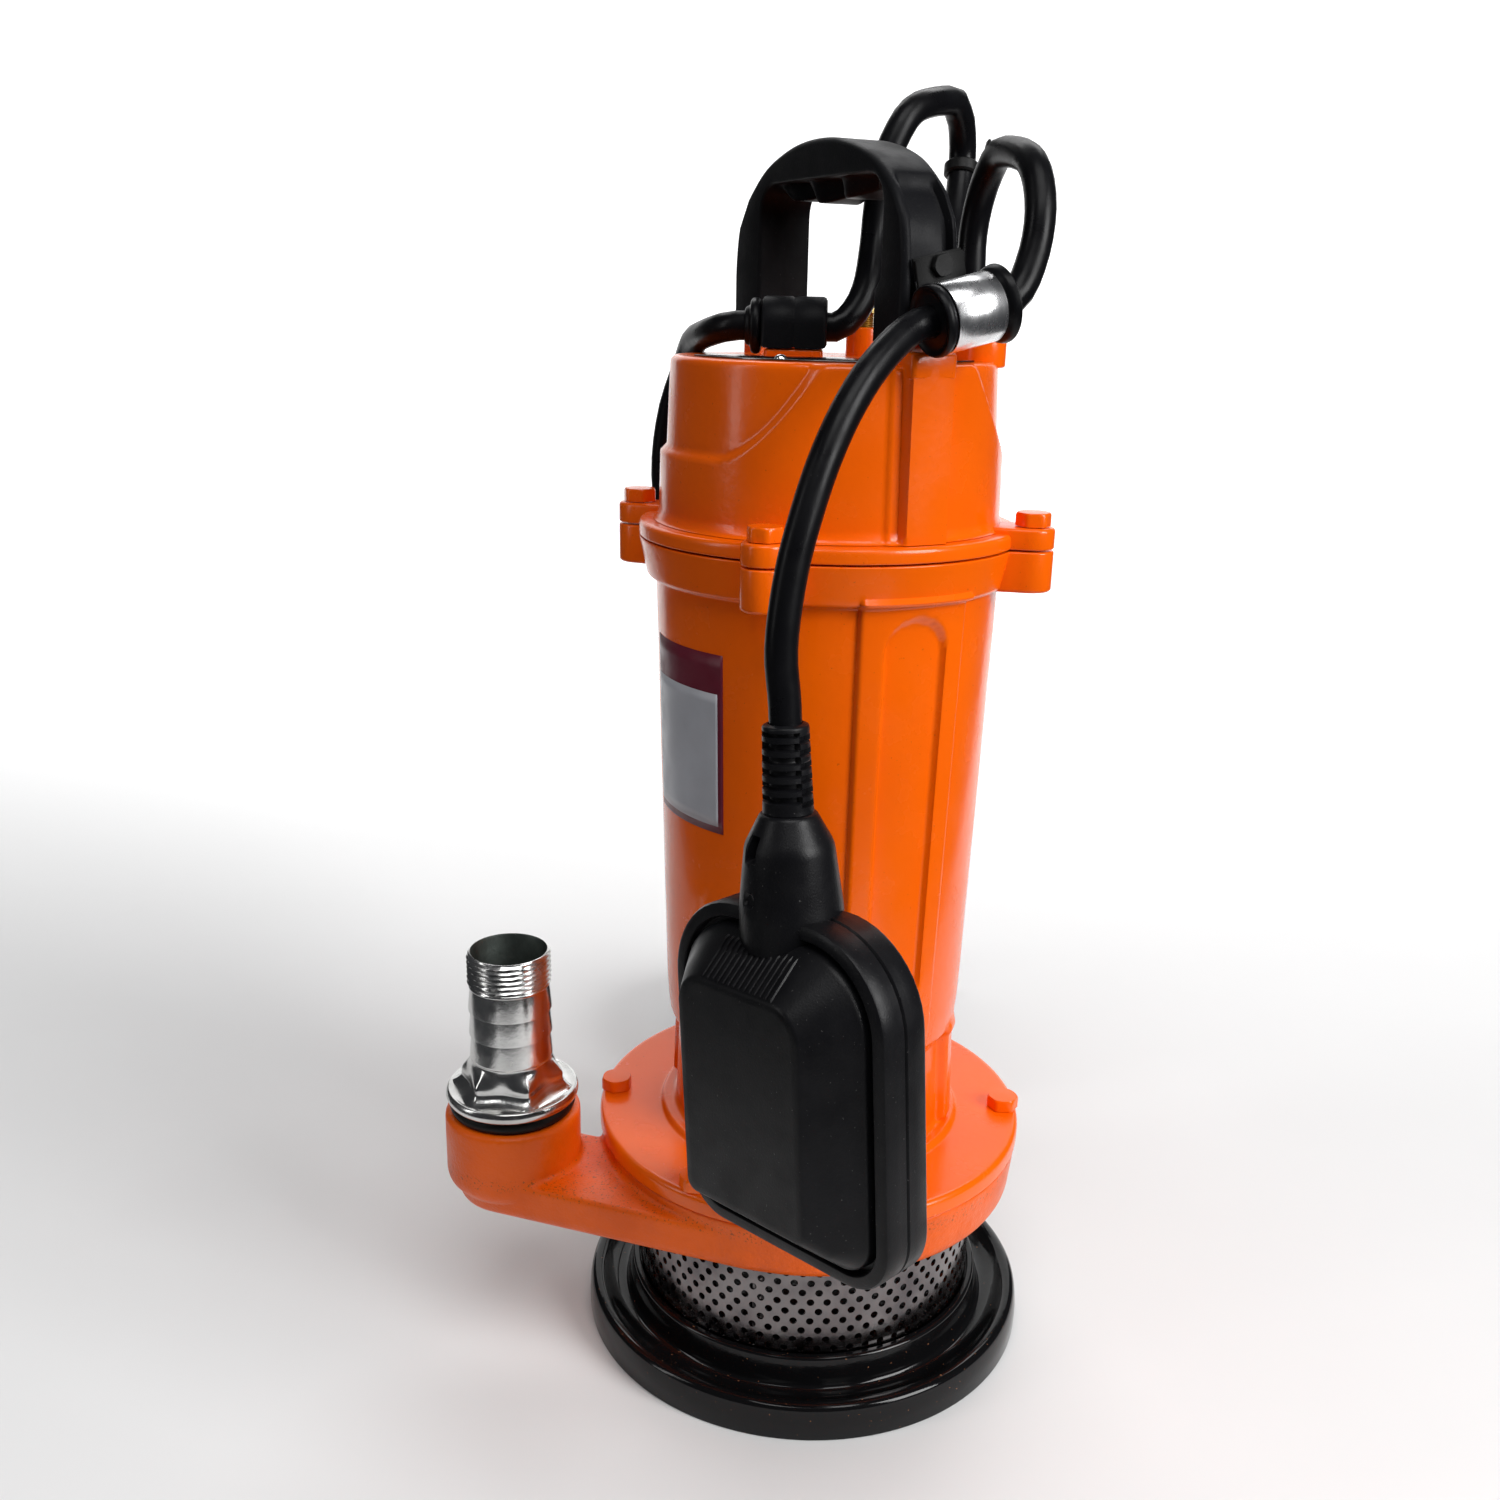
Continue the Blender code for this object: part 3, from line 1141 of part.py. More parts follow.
def build_clamp(chrome, rubber, steel):
    face = HANDLE_HALF_LENGTH - CLAMP_ALONG + GAP
    sheet = face + CLAMP_SHEET
    outline = [(sheet, -CLAMP_TAB), (face, -CLAMP_TAB), (face, 0.3 * CLAMP_RADIUS)]
    start = math.pi - math.asin(0.3)
    stop = -math.pi + math.asin(0.25)
    for i in range(25):
        turn = start + (stop - start) * i / 24
        outline.append((CLAMP_RADIUS * math.cos(turn), CLAMP_RADIUS * math.sin(turn)))
    outline.append((sheet, -0.35 * CLAMP_RADIUS))
    half = 0.5 * CLAMP_LENGTH
    inner = CLAMP_RADIUS - CLAMP_SHEET
    strap = cut(prism(outline, -half, half), cylinder(inner, -2 * half, 2 * half, MID_STEPS))
    back = clamp_place().inverted() @ clamp_screw_place()
    strap = cut(strap, moved(cylinder(GLAND_BOLT_RADIUS + GAP, -CUT_OVER, CUT_OVER, BOLT_STEPS), back))
    add("clamp_band", strap, chrome, clamp_place())
    lip = half + GAP + CLAMP_LIP_LENGTH
    ring = inner - GAP
    sleeve = [
        (CORD_HOLE, -lip),
        (0.8 * CLAMP_LIP_RADIUS, -lip),
        (CLAMP_LIP_RADIUS, -lip + 0.5 * CLAMP_LIP_LENGTH),
        (CLAMP_LIP_RADIUS, -half - GAP),
        (ring, -half - GAP),
        (ring, half + GAP),
        (CLAMP_LIP_RADIUS, half + GAP),
        (CLAMP_LIP_RADIUS, lip - 0.5 * CLAMP_LIP_LENGTH),
        (0.8 * CLAMP_LIP_RADIUS, lip),
        (CORD_HOLE, lip),
    ]
    add("clamp_sleeve", lathe(sleeve, MID_STEPS), rubber, clamp_place())
    seat = at(0, 0, 2 * GAP + CLAMP_SHEET)
    screw = bolt(GLAND_BOLT_ACROSS, GLAND_BOLT_HEAD, GLAND_BOLT_RADIUS, CLAMP_SCREW)
    add("clamp_screw", screw, steel, clamp_screw_place() @ seat)


def build_saddle(black, rubber):
    outer = CORD_HOLE + SLEEVE_WALL + GAP + SADDLE_WALL
    inner = outer - SADDLE_WALL
    foot = SADDLE_PAD_TOP + GAP - SADDLE_AXIS
    arch = [(math.cos(math.pi * i / 12), math.sin(math.pi * i / 12)) for i in range(13)]
    outline = [(outer, foot)]
    outline += [(outer * x, outer * y) for x, y in arch]
    outline += [(-outer, foot), (-inner, foot)]
    outline += [(-inner * x, inner * y) for x, y in arch]
    outline += [(inner, foot)]
    half = 0.5 * SADDLE_LENGTH
    lie = turned(math.pi / 2, "Z") @ turned(math.pi / 2, "X")
    add("cord_saddle", moved(prism(outline, -half, half), lie), black, saddle_place(SADDLE_AXIS))
    lip = half + GAP + SLEEVE_LIP_LENGTH
    ring = inner - GAP
    sleeve = [
        (CORD_HOLE, -half),
        (ring, -half),
        (ring, half + GAP),
        (ring + SLEEVE_LIP, half + GAP),
        (ring + SLEEVE_LIP, lip),
        (CORD_HOLE, lip),
    ]
    body = moved(lathe(sleeve, MID_STEPS), turned(math.pi / 2, "Y"))
    add("saddle_sleeve", body, rubber, saddle_place(SADDLE_AXIS))


def build_gland(rubber, zinc):
    low = GLAND_PAD_TOP + GAP
    bushing = prism(stadium(GLAND_HALF, CORD_HOLE + 0.7 * GLAND_WALL, 6), low, BUSHING_TOP)
    high = PLATE_TOP + CUT_OVER
    holes = [cylinder(CORD_HOLE, low - CUT_OVER, high, SMALL_STEPS, s * GLAND_HALF) for s in (-1, 1)]
    add("gland_bushing", cut(bushing, *holes), rubber, gland_place(0))
    low = BUSHING_TOP + GAP
    plate = prism(stadium(GLAND_BOLT_HALF, CORD_HOLE + GLAND_WALL, 6), low, PLATE_TOP)
    holes = []
    for side in (-1, 1):
        x = side * GLAND_HALF
        holes.append(cylinder(CORD_HOLE + PLAY, low - CUT_OVER, high, SMALL_STEPS, x))
        x = side * GLAND_BOLT_HALF
        holes.append(cylinder(GLAND_BOLT_RADIUS + GAP, low - CUT_OVER, high, BOLT_STEPS, x))
    add("gland_plate", cut(plate, *holes), zinc, gland_place(0))


def float_place():
    return Matrix.Translation(FLOAT_TOP) @ turned(FLOAT_TURN) @ turned(FLOAT_LEAN, "Y")


def build_float(black, steel, swing):
    place = swing.matrix_basis.inverted() @ float_place()
    half = 0.5 * FLOAT_THICKNESS

    def ring(inset, height):
        outline = rounded_box(FLOAT_WIDTH, FLOAT_HEIGHT, FLOAT_TOP_CORNER, FLOAT_LOW_CORNER, inset)
        return outline, height

    seam = 0.5 * GAP
    edge = 0.15 * FLOAT_RIM
    outer = [
        ring(0, seam),
        ring(0, FLOAT_RIM - edge),
        ring(edge, FLOAT_RIM),
        ring(FLOAT_RIM_EDGE, FLOAT_RIM),
        ring(FLOAT_PANEL_INSET, half),
    ]
    inner = [
        ring(FLOAT_WALL, seam),
        ring(FLOAT_WALL, FLOAT_RIM - FLOAT_WALL),
        ring(FLOAT_RIM_EDGE + FLOAT_WALL, FLOAT_RIM - FLOAT_WALL),
        ring(FLOAT_PANEL_INSET + FLOAT_WALL, half - FLOAT_WALL),
    ]
    for name, turn in (("float_front_shell", 0), ("float_rear_shell", math.pi)):
        shell = moved(cup(outer, inner), turned(turn) @ turned(math.pi / 2, "X"))
        socket = cylinder(NECK_BOTTOM_RADIUS + GAP, -NECK_SINK - GAP, NECK_HEIGHT, MID_STEPS)
        add(name, cut(shell, socket), black, place, swing)
    cone_top = NECK_HEIGHT + NECK_CONE
    neck = [
        (CORD_HOLE, -NECK_SINK),
        (NECK_BOTTOM_RADIUS, -NECK_SINK),
        (NECK_BOTTOM_RADIUS, 0),
        (NECK_TOP_RADIUS, NECK_HEIGHT),
        (RELIEF_RADIUS + PLAY, cone_top),
        (CORD_HOLE, cone_top),
    ]
    add("float_neck", lathe(neck, MID_STEPS), black, place, swing)
    low = cone_top + GAP
    top = low + RELIEF_LENGTH
    relief = [(CORD_HOLE, low), (RELIEF_RADIUS, low), (RELIEF_TOP_RADIUS, top), (CORD_HOLE, top)]
    add("float_strain_relief", lathe(relief, SMALL_STEPS), black, place, swing)
    wide = 0.5 * SWITCH_WIDTH
    back = SWITCH_PLACE + 0.5 * SWITCH_DEPTH
    front = SWITCH_PLACE - 0.5 * SWITCH_DEPTH
    low = -SWITCH_TOP - SWITCH_HEIGHT
    add("microswitch", box((-wide, front, low), (wide, back, -SWITCH_TOP)), black, place, swing)
    ball = bmesh.new()
    bmesh.ops.create_uvsphere(ball, u_segments=12, v_segments=8, radius=BALL_RADIUS)
    add("switch_ball", ball, steel, place @ at(0, 0, -BALL_REST), swing)
    wide = 0.5 * LEVER_WIDTH
    thick = 0.5 * LEVER_SHEET
    lever = box((-wide, -thick, -LEVER_LENGTH), (wide, thick, -LEVER_SHEET))
    hinge = at(0, LEVER_PLACE, low - 2 * LEVER_SHEET) @ turned(-LEVER_LEAN, "X")
    add("switch_lever", lever, steel, place @ hinge, swing)


def gland_hole(side, height):
    return gland_place(height) @ Vector((side * GLAND_HALF, 0, 0))


def cord_routes():
    """Hand-chosen points of the four free stretches, from the gland outwards."""
    start = GLAND_PAD_TOP + 2 * PLAY
    saddle = saddle_place(SADDLE_AXIS)
    reach = 0.5 * SADDLE_LENGTH + SLEEVE_LIP_LENGTH + CORD_RADIUS
    level = Vector((0, 0, COVER_TOP))
    power_upper = [gland_hole(-1, start), gland_hole(-1, PLATE_TOP + 2 * CORD_RADIUS)]
    for x, y, rise in (
        (0.0280, 0.0425, 0.0418),
        (0.0266, 0.0542, 0.0611),
        (0.0265, 0.0517, 0.0715),
        (0.0257, 0.0480, 0.0763),
        (0.0240, 0.0430, 0.0791),
        (0.0169, 0.0247, 0.0749),
        (0.0123, 0.0180, 0.0656),
        (0.0094, 0.0152, 0.0545),
        (0.0084, 0.0140, 0.0424),
        (0.0086, 0.0112, 0.0340),
        (0.0090, 0.0034, 0.0218),
        (0.0066, -0.0014, 0.0139),
    ):
        power_upper.append(level + Vector((x, y, rise)))
    power_upper.append(saddle @ Vector((-0.5 * (SADDLE_LENGTH + CORD_RADIUS), 0, 0)))
    power_upper.append(saddle @ Vector((0, 0, 0)))
    power_lower = [saddle @ Vector((GAP, 0, 0)), saddle @ Vector((reach, 0, 0))]
    for x, y, rise in (
        (-0.0353, -0.0093, 0.0078),
        (-0.0437, 0.0003, 0.0058),
        (-0.0515, 0.0117, 0.0031),
        (-0.0583, 0.0212, -0.0057),
        (-0.0652, 0.0255, -0.0212),
        (-0.0683, 0.0272, -0.0412),
        (-0.0667, 0.0292, -0.0632),
        (-0.0645, 0.0361, -0.0932),
        (-0.0632, 0.0447, -0.1332),
        (-0.0655, 0.0640, -0.1832),
        (-0.0705, 0.0800, -0.2432),
        (-0.0755, 0.0935, -0.2912),
        (-0.0795, 0.1050, -0.3197),
    ):
        power_lower.append(level + Vector((x, y, rise)))
    coil_start = coil_point(0.0)
    away = (coil_start - coil_point(0.001)).normalized()
    away.z = 0
    power_lower += [
        coil_start + away * 2.5 * COIL_PITCH + Vector((0, 0, CORD_RADIUS)),
        coil_start + away * COIL_PITCH,
        coil_start + away * 3 * GAP,
    ]
    clamp = clamp_place()
    lip = 0.5 * CLAMP_LENGTH + CLAMP_LIP_LENGTH
    float_upper = [gland_hole(1, start), gland_hole(1, PLATE_TOP + 2 * CORD_RADIUS)]
    for x, y, rise in (
        (0.0384, 0.0180, 0.0366),
        (0.0400, 0.0168, 0.0468),
        (0.0436, 0.0119, 0.0555),
        (0.0484, 0.0050, 0.0600),
        (0.0594, -0.0122, 0.0560),
        (0.0642, -0.0205, 0.0440),
        (0.0638, -0.0255, 0.0294),
    ):
        float_upper.append(level + Vector((x, y, rise)))
    float_upper += [clamp @ Vector((0, 0, lip + CORD_RADIUS)), clamp @ Vector((0, 0, GAP))]
    relief_top = NECK_HEIGHT + NECK_CONE + RELIEF_LENGTH
    body = float_place()
    float_lower = [clamp @ Vector((0, 0, 0)), clamp @ Vector((0, 0, -lip - CORD_RADIUS))]
    for x, y, rise in (
        (0.0314, -0.0670, 0.0021),
        (0.0265, -0.0778, -0.0092),
        (0.0226, -0.0866, -0.0229),
        (0.0196, -0.0931, -0.0379),
        (0.0173, -0.0974, -0.0531),
        (0.0162, -0.1001, -0.0714),
    ):
        float_lower.append(level + Vector((x, y, rise)))
    float_lower.append(body @ Vector((0, 0, relief_top + CORD_RADIUS)))
    float_lower.append(body @ Vector((0, 0, NECK_HEIGHT)))
    return power_upper, power_lower, float_upper, float_lower


def coil_sweep():
    return 2 * math.pi * COIL_TURNS + COIL_EXTRA


def coil_point(share):
    """Point of the coil: it spirals in and out steadily and climbs where the spiral turns back."""
    sweep = coil_sweep()
    swept = share * sweep
    layer_sweep = sweep / COIL_LAYERS
    layer = min(int(swept / layer_sweep), COIL_LAYERS - 1)
    part = swept - layer * layer_sweep
    inwards = part if layer % 2 == 0 else layer_sweep - part
    radius = COIL_RADIUS - COIL_PITCH * inwards / (2 * math.pi)
    climb = 0.0
    for turn in range(1, COIL_LAYERS):
        passed = (swept - turn * layer_sweep) / math.pi + 0.5
        passed = min(max(passed, 0.0), 1.0)
        climb += passed * passed * (3 - 2 * passed)
    angle = COIL_START - swept
    height = COIL_LIFT + COIL_PITCH * climb
    x = COIL_X + radius * math.cos(angle)
    y = COIL_Y + radius * math.sin(angle)
    return Vector((x, y, height))


def coil_path():
    count = round(coil_sweep() / (2 * math.pi) * COIL_POINTS)
    return [coil_point(i / count) for i in range(count + 1)]


def plug_place():
    """Frame of the mains plug: X from the cord to the pins, on the floor behind the coil."""
    return at(COIL_X + PLUG_ASIDE, COIL_Y + PLUG_BEHIND, PLUG_RADIUS + FLOOR_GAP) @ turned(PLUG_TURN)


def tail_path(path):
    """Tail from the last loop down to the back of the plug."""
    leave = (path[-1] - path[-2]).normalized()
    plug = plug_place()
    route = [
        path[-1],
        path[-1] + leave * 0.012,
        path[-1] + leave * 0.034 + Vector((0.002, 0.004, -2 * CORD_RADIUS)),
        plug @ Vector((-5 * CORD_RADIUS, 0, 0.5 * CORD_RADIUS)),
        plug @ Vector((-2 * CORD_RADIUS, 0, 0)),
        plug @ Vector((PLUG_RELIEF, 0, 0)),
    ]
    return tube_path(route, CORD_STEP)[1:]


def least_gap(path):
    """Smallest distance between the tube's skin and itself, measured on the points and halfway."""
    fine = []
    for p, q in zip(path, path[1:]):
        fine += [p, (p + q) / 2]
    run = [0.0]
    for p, q in zip(fine, fine[1:]):
        run.append(run[-1] + (q - p).length)
    least = 1.0
    for i, p in enumerate(fine):
        for j in range(i + 1, len(fine)):
            if run[j] - run[i] > 8 * CORD_RADIUS:
                least = min(least, (p - fine[j]).length)
    return least - 2 * CORD_RADIUS


def build_cords(rubber):
    power_upper, power_lower, float_upper, float_lower = cord_routes()
    lengths = []
    for name, route, spacing in (
        ("power_cord_upper", power_upper, LOOP_STEP),
        ("power_cord_lower", power_lower, CORD_STEP),
        ("float_cord_upper", float_upper, LOOP_STEP),
        ("float_cord_lower", float_lower, CORD_STEP),
    ):
        path = tube_path(route, spacing)
        add_tube(name, path, rubber, 2)
        lengths.append(path_length(path))
    coil = coil_path()
    coil += tail_path(coil)
    add_tube("cord_coil", coil, rubber, 1)
    power = lengths[0] + lengths[1] + path_length(coil)
    short = lengths[2] + lengths[3]
    print(f"power cord {power:.3f} m (aim {CORD_TOTAL:.1f}), float cord {short:.3f} m")
    print(f"coil least gap {1000 * least_gap(coil):.2f} mm, length {path_length(coil):.3f} m")


def build_plug(black):
    grip = PLUG_RELIEF + PLUG_GRIP
    face = grip + PLUG_BODY
    profile = [
        (CORD_HOLE, 0),
        (CORD_HOLE + PLUG_LIP, 0),
        (PLUG_RELIEF_RADIUS, PLUG_RELIEF),
        (PLUG_GRIP_RADIUS, PLUG_RELIEF + PLUG_STEP),
        (PLUG_GRIP_RADIUS, grip),
        (PLUG_RADIUS, grip + PLUG_SHOULDER),
        (PLUG_RADIUS, face),
        (0, face),
        (0, PLUG_RELIEF + 2 * PLAY),
        (CORD_HOLE, PLUG_RELIEF + 2 * PLAY),
    ]
    body = lathe(profile, MID_STEPS)
    low, high = face - PIN_ROOT, face + PIN_LENGTH
    pins = [cylinder(PIN_RADIUS, low, high, BOLT_STEPS, s * PIN_HALF) for s in (-1, 1)]
    body = moved(joined(body, *pins), turned(math.pi / 2, "Y"))
    body = moved(body, turned(math.pi / 2, "X"))
    add("mains_plug", body, black, plug_place())


def build():
    clear_scene()
    orange = finish("orange_enamel", (0.80, 0.16, 0.008), 0.28)
    gloss_black = finish("black_enamel", (0.012, 0.012, 0.013), 0.15)
    black = finish("black_plastic", (0.018, 0.018, 0.019), 0.45)
    rubber = finish("black_rubber", (0.020, 0.020, 0.020), 0.6)
    steel = finish("stainless_steel", (0.62, 0.61, 0.59), 0.25, 1.0)
    chrome = finish("chrome", (0.78, 0.78, 0.79), 0.08, 1.0)
    zinc = finish("zinc_plate", (0.60, 0.61, 0.62), 0.35, 1.0)
    yellow = finish("yellow_zinc", (0.62, 0.48, 0.16), 0.35, 1.0)
    iron = finish("cast_iron", (0.16, 0.16, 0.17), 0.6, 0.6)
    copper = finish("copper_wire", (0.55, 0.22, 0.08), 0.35, 1.0)
    ceramic = finish("ceramic", (0.75, 0.73, 0.68), 0.3)
    build_foot(gloss_black, steel)
    build_volute(orange, iron)
    build_fitting(chrome, rubber)
    build_casing(orange, rubber)
    build_cover(orange, black)
    build_motor(iron, steel, copper, ceramic)
    build_screws(orange, zinc, yellow)
    build_handle(black)
    build_clamp(chrome, rubber, steel)
    build_saddle(black, rubber)
    build_gland(rubber, zinc)
    lip = 0.5 * CLAMP_LENGTH + CLAMP_LIP_LENGTH
    swing = pivot("float_swing_pivot", Matrix.Translation(clamp_place() @ Vector((0, 0, -lip))))
    build_float(black, steel, swing)
    build_cords(rubber)
    build_plug(black)


build()
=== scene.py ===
import math
from collections import namedtuple

import bmesh
import bpy
import numpy as np
from mathutils import Matrix, Vector


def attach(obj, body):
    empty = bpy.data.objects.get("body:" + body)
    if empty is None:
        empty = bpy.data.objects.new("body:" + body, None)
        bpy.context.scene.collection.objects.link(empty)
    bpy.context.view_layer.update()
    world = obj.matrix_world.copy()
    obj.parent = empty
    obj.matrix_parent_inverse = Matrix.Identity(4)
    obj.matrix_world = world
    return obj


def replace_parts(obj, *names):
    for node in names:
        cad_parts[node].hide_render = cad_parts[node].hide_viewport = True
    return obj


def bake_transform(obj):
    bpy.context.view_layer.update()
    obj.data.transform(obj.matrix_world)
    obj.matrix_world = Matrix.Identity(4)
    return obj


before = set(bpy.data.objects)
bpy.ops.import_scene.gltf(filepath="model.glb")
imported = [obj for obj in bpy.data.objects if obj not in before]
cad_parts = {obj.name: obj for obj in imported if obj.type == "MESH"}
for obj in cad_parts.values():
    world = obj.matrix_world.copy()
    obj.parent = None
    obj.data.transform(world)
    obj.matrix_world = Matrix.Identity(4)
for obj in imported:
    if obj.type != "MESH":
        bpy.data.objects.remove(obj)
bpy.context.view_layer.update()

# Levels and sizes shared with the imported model
GAP = 0.0003
CORD_RADIUS = 0.0045
CORD_HOLE = CORD_RADIUS + 0.0001
DISC_LOW, DISC_TOP = 0.0760, 0.0820
NECK_TOP, FLANGE_LOW, FLANGE_TOP = 0.1170, 0.2745, 0.2871
COVER_LOW, COVER_TOP, EAR_TOP = 0.2877, 0.3432, 0.2943
HANDLE_FOOT = 0.3492
SADDLE_AXIS = 0.3523
GLAND_PAD_TOP, BUSHING_TOP, PLATE_TOP = 0.3502, 0.3570, 0.3593
FITTING_LOW = 0.0946
OUTLET = (-0.0912, -0.0549)
OIL_POST = (0.004, 0.022)
DIAGONAL = math.radians(-45)
EAR_CIRCLE, FLANGE_CIRCLE = 0.0660, 0.0704
QUARTER = math.pi / 2


def smooth(a, b, x):
    t = np.clip((x - a) / (b - a), 0.0, 1.0)
    return t * t * (3 - 2 * t)


def between(a, b, c, d, x):
    """Weight of one value, which rises from a to b and falls from c to d."""
    return float(smooth(a, b, x)) * float(1 - smooth(c, d, x))


def at(x, y, z):
    return Matrix.Translation((x, y, z))


def turned(angle, axis="Z"):
    return Matrix.Rotation(angle, 4, axis)


def link(name, data):
    made = bpy.data.objects.new(name, data)
    bpy.context.scene.collection.objects.link(made)
    return made


# Camera, found from the round foot, flange and cover
CAMERA_SPOT = (0.1288, -0.4644, 0.3591)
CAMERA_HEADING = math.radians(108.33)
CAMERA_PITCH = math.radians(16.816)
CAMERA_ROLL = math.radians(1.173)
CAMERA_LENS, CAMERA_SENSOR = 35.52, 36


def aim_camera():
    ahead, aside = math.cos(CAMERA_HEADING), math.sin(CAMERA_HEADING)
    level, down = math.cos(CAMERA_PITCH), math.sin(CAMERA_PITCH)
    forward = Vector((ahead * level, aside * level, -down))
    right = Vector((aside, -ahead, 0))
    up = right.cross(forward)
    side = right * math.cos(CAMERA_ROLL) + up * math.sin(CAMERA_ROLL)
    top = up * math.cos(CAMERA_ROLL) - right * math.sin(CAMERA_ROLL)
    camera = link("camera", bpy.data.cameras.new("camera"))
    camera.data.sensor_width = CAMERA_SENSOR
    camera.data.lens = CAMERA_LENS
    camera.data.clip_start = 0.01
    camera.matrix_world = at(*CAMERA_SPOT) @ Matrix((side, top, -forward)).transposed().to_4x4()
    bpy.context.scene.camera = camera


aim_camera()


# Materials
class Look:
    """Builds one procedural material; every texture is laid in object coordinates."""

    def __init__(self, name):
        self.made = bpy.data.materials.new(name)
        self.made.use_nodes = True
        self.tree = self.made.node_tree
        self.shader = self.tree.nodes["Principled BSDF"]
        self.place = self.tree.nodes.new("ShaderNodeTexCoord").outputs["Object"]

    def set(self, **values):
        for name, value in values.items():
            socket = self.shader.inputs[name.replace("_", " ")]
            socket.default_value = (*value, 1.0) if isinstance(value, tuple) else value
        return self

    def stretched(self, scale):
        mapping = self.tree.nodes.new("ShaderNodeMapping")
        mapping.inputs["Scale"].default_value = scale
        self.tree.links.new(self.place, mapping.inputs["Vector"])
        return mapping.outputs["Vector"]

    def noise(self, scale, detail=3.0, rough=0.5, where=None):
        node = self.tree.nodes.new("ShaderNodeTexNoise")
        node.inputs["Scale"].default_value = scale
        node.inputs["Detail"].default_value = detail
        node.inputs["Roughness"].default_value = rough
        self.tree.links.new(where or self.place, node.inputs["Vector"])
        return node.outputs["Fac"]

    def axis(self, name):
        node = self.tree.nodes.new("ShaderNodeSeparateXYZ")
        self.tree.links.new(self.place, node.inputs["Vector"])
        return node.outputs[name]

    def ramp(self, source, low, high, to_low=0.0, to_high=1.0):
        node = self.tree.nodes.new("ShaderNodeMapRange")
        node.interpolation_type = "SMOOTHSTEP"
        for name, value in (("From Min", low), ("From Max", high), ("To Min", to_low), ("To Max", to_high)):
            node.inputs[name].default_value = value
        self.tree.links.new(source, node.inputs["Value"])
        return node.outputs["Result"]

    def times(self, a, b):
        node = self.tree.nodes.new("ShaderNodeMath")
        node.operation = "MULTIPLY"
        self.tree.links.new(a, node.inputs[0])
        self.tree.links.new(b, node.inputs[1])
        return node.outputs[0]

    def mix(self, share, a, b):
        node = self.tree.nodes.new("ShaderNodeMix")
        node.data_type = "RGBA"
        self.tree.links.new(share, node.inputs["Factor"])
        for socket, value in ((node.inputs["A"], a), (node.inputs["B"], b)):
            if isinstance(value, tuple):
                socket.default_value = (*value, 1.0)
            else:
                self.tree.links.new(value, socket)
        return node.outputs["Result"]

    def to(self, name, source):
        self.tree.links.new(source, self.shader.inputs[name.replace("_", " ")])
        return self

    def bumps(self, *layers):
        """Stack bump layers, each given as (source, height in metres)."""
        before = None
        for source, height in layers:
            node = self.tree.nodes.new("ShaderNodeBump")
            node.inputs["Distance"].default_value = height
            node.inputs["Strength"].default_value = 1.0
            self.tree.links.new(source, node.inputs["Height"])
            if before:
                self.tree.links.new(before, node.inputs["Normal"])
            before = node.outputs["Normal"]
        self.tree.links.new(before, self.shader.inputs["Normal"])
        return self


def enamel(name, peel, grain, dust):
    look = Look(name).set(IOR=1.38, Coat_Weight=0.12, Coat_Roughness=0.07)
    tone = look.mix(look.ramp(look.noise(16, 3), 0.25, 0.75), (0.93, 0.132, 0.0004), (0.86, 0.115, 0.0004))
    dirt = look.ramp(look.noise(900, 2), 0.70, 0.78, 0.0, dust)
    tone = look.mix(dirt, tone, (0.16, 0.030, 0.004))
    look.to("Base_Color", tone)
    look.to("Roughness", look.ramp(look.noise(60, 5), 0.3, 0.75, 0.18, 0.30))
    return look.bumps((look.noise(420, 2), peel), (look.noise(1500, 3), grain)).made


def rough_casting(name):
    look = Look(name).set(IOR=1.36, Coat_Weight=0.06, Coat_Roughness=0.15)
    tone = look.mix(look.ramp(look.noise(30, 4), 0.35, 0.68), (0.88, 0.122, 0.0006), (0.74, 0.096, 0.0006))
    pits = look.ramp(look.noise(1250, 2), 0.58, 0.70, 0.0, 0.75)
    height = look.axis("Z")
    sandy = look.times(look.ramp(height, 0.0685, 0.0708), look.ramp(height, 0.0730, 0.0745, 1.0, 0.0))
    tone = look.mix(look.times(pits, sandy), tone, (0.22, 0.060, 0.008))
    look.to("Base_Color", tone)
    look.to("Roughness", look.ramp(look.noise(90, 4), 0.3, 0.7, 0.30, 0.50))
    return look.bumps((look.noise(300, 4), 0.00030), (look.noise(1100, 3), 0.00022)).made


def black_moulding(name, tone, rough, grain, scuff, shine=0.24):
    look = Look(name).set(IOR=1.45, Specular_IOR_Level=shine)
    dark = look.mix(look.ramp(look.noise(35, 3), 0.3, 0.7), tone, tuple(0.72 * c for c in tone))
    marks = look.ramp(look.noise(75, 6, 0.7, look.stretched((1.0, 1.0, 0.25))), 0.66, 0.80, 0.0, scuff)
    dust = look.ramp(look.noise(1400, 1), 0.745, 0.79, 0.0, scuff)
    dark = look.mix(marks, dark, (0.055, 0.055, 0.056))
    dark = look.mix(dust, dark, (0.16, 0.155, 0.15))
    look.to("Base_Color", dark)
    look.to("Roughness", look.ramp(look.noise(120, 4), 0.25, 0.75, rough - 0.07, rough + 0.09))
    return look.bumps((look.noise(1800, 2), grain), (look.noise(160, 3), 0.6 * grain)).made


def gloss_black(name):
    look = Look(name).set(IOR=1.36)
    specks = look.ramp(look.noise(1000, 1), 0.755, 0.79, 0.0, 0.8)
    look.to("Base_Color", look.mix(specks, (0.0045, 0.0045, 0.005), (0.30, 0.13, 0.06)))
    look.to("Roughness", look.ramp(look.noise(140, 4), 0.35, 0.75, 0.07, 0.18))
    return look.bumps((look.noise(260, 2), 0.00003), (look.noise(900, 1), 0.00001)).made


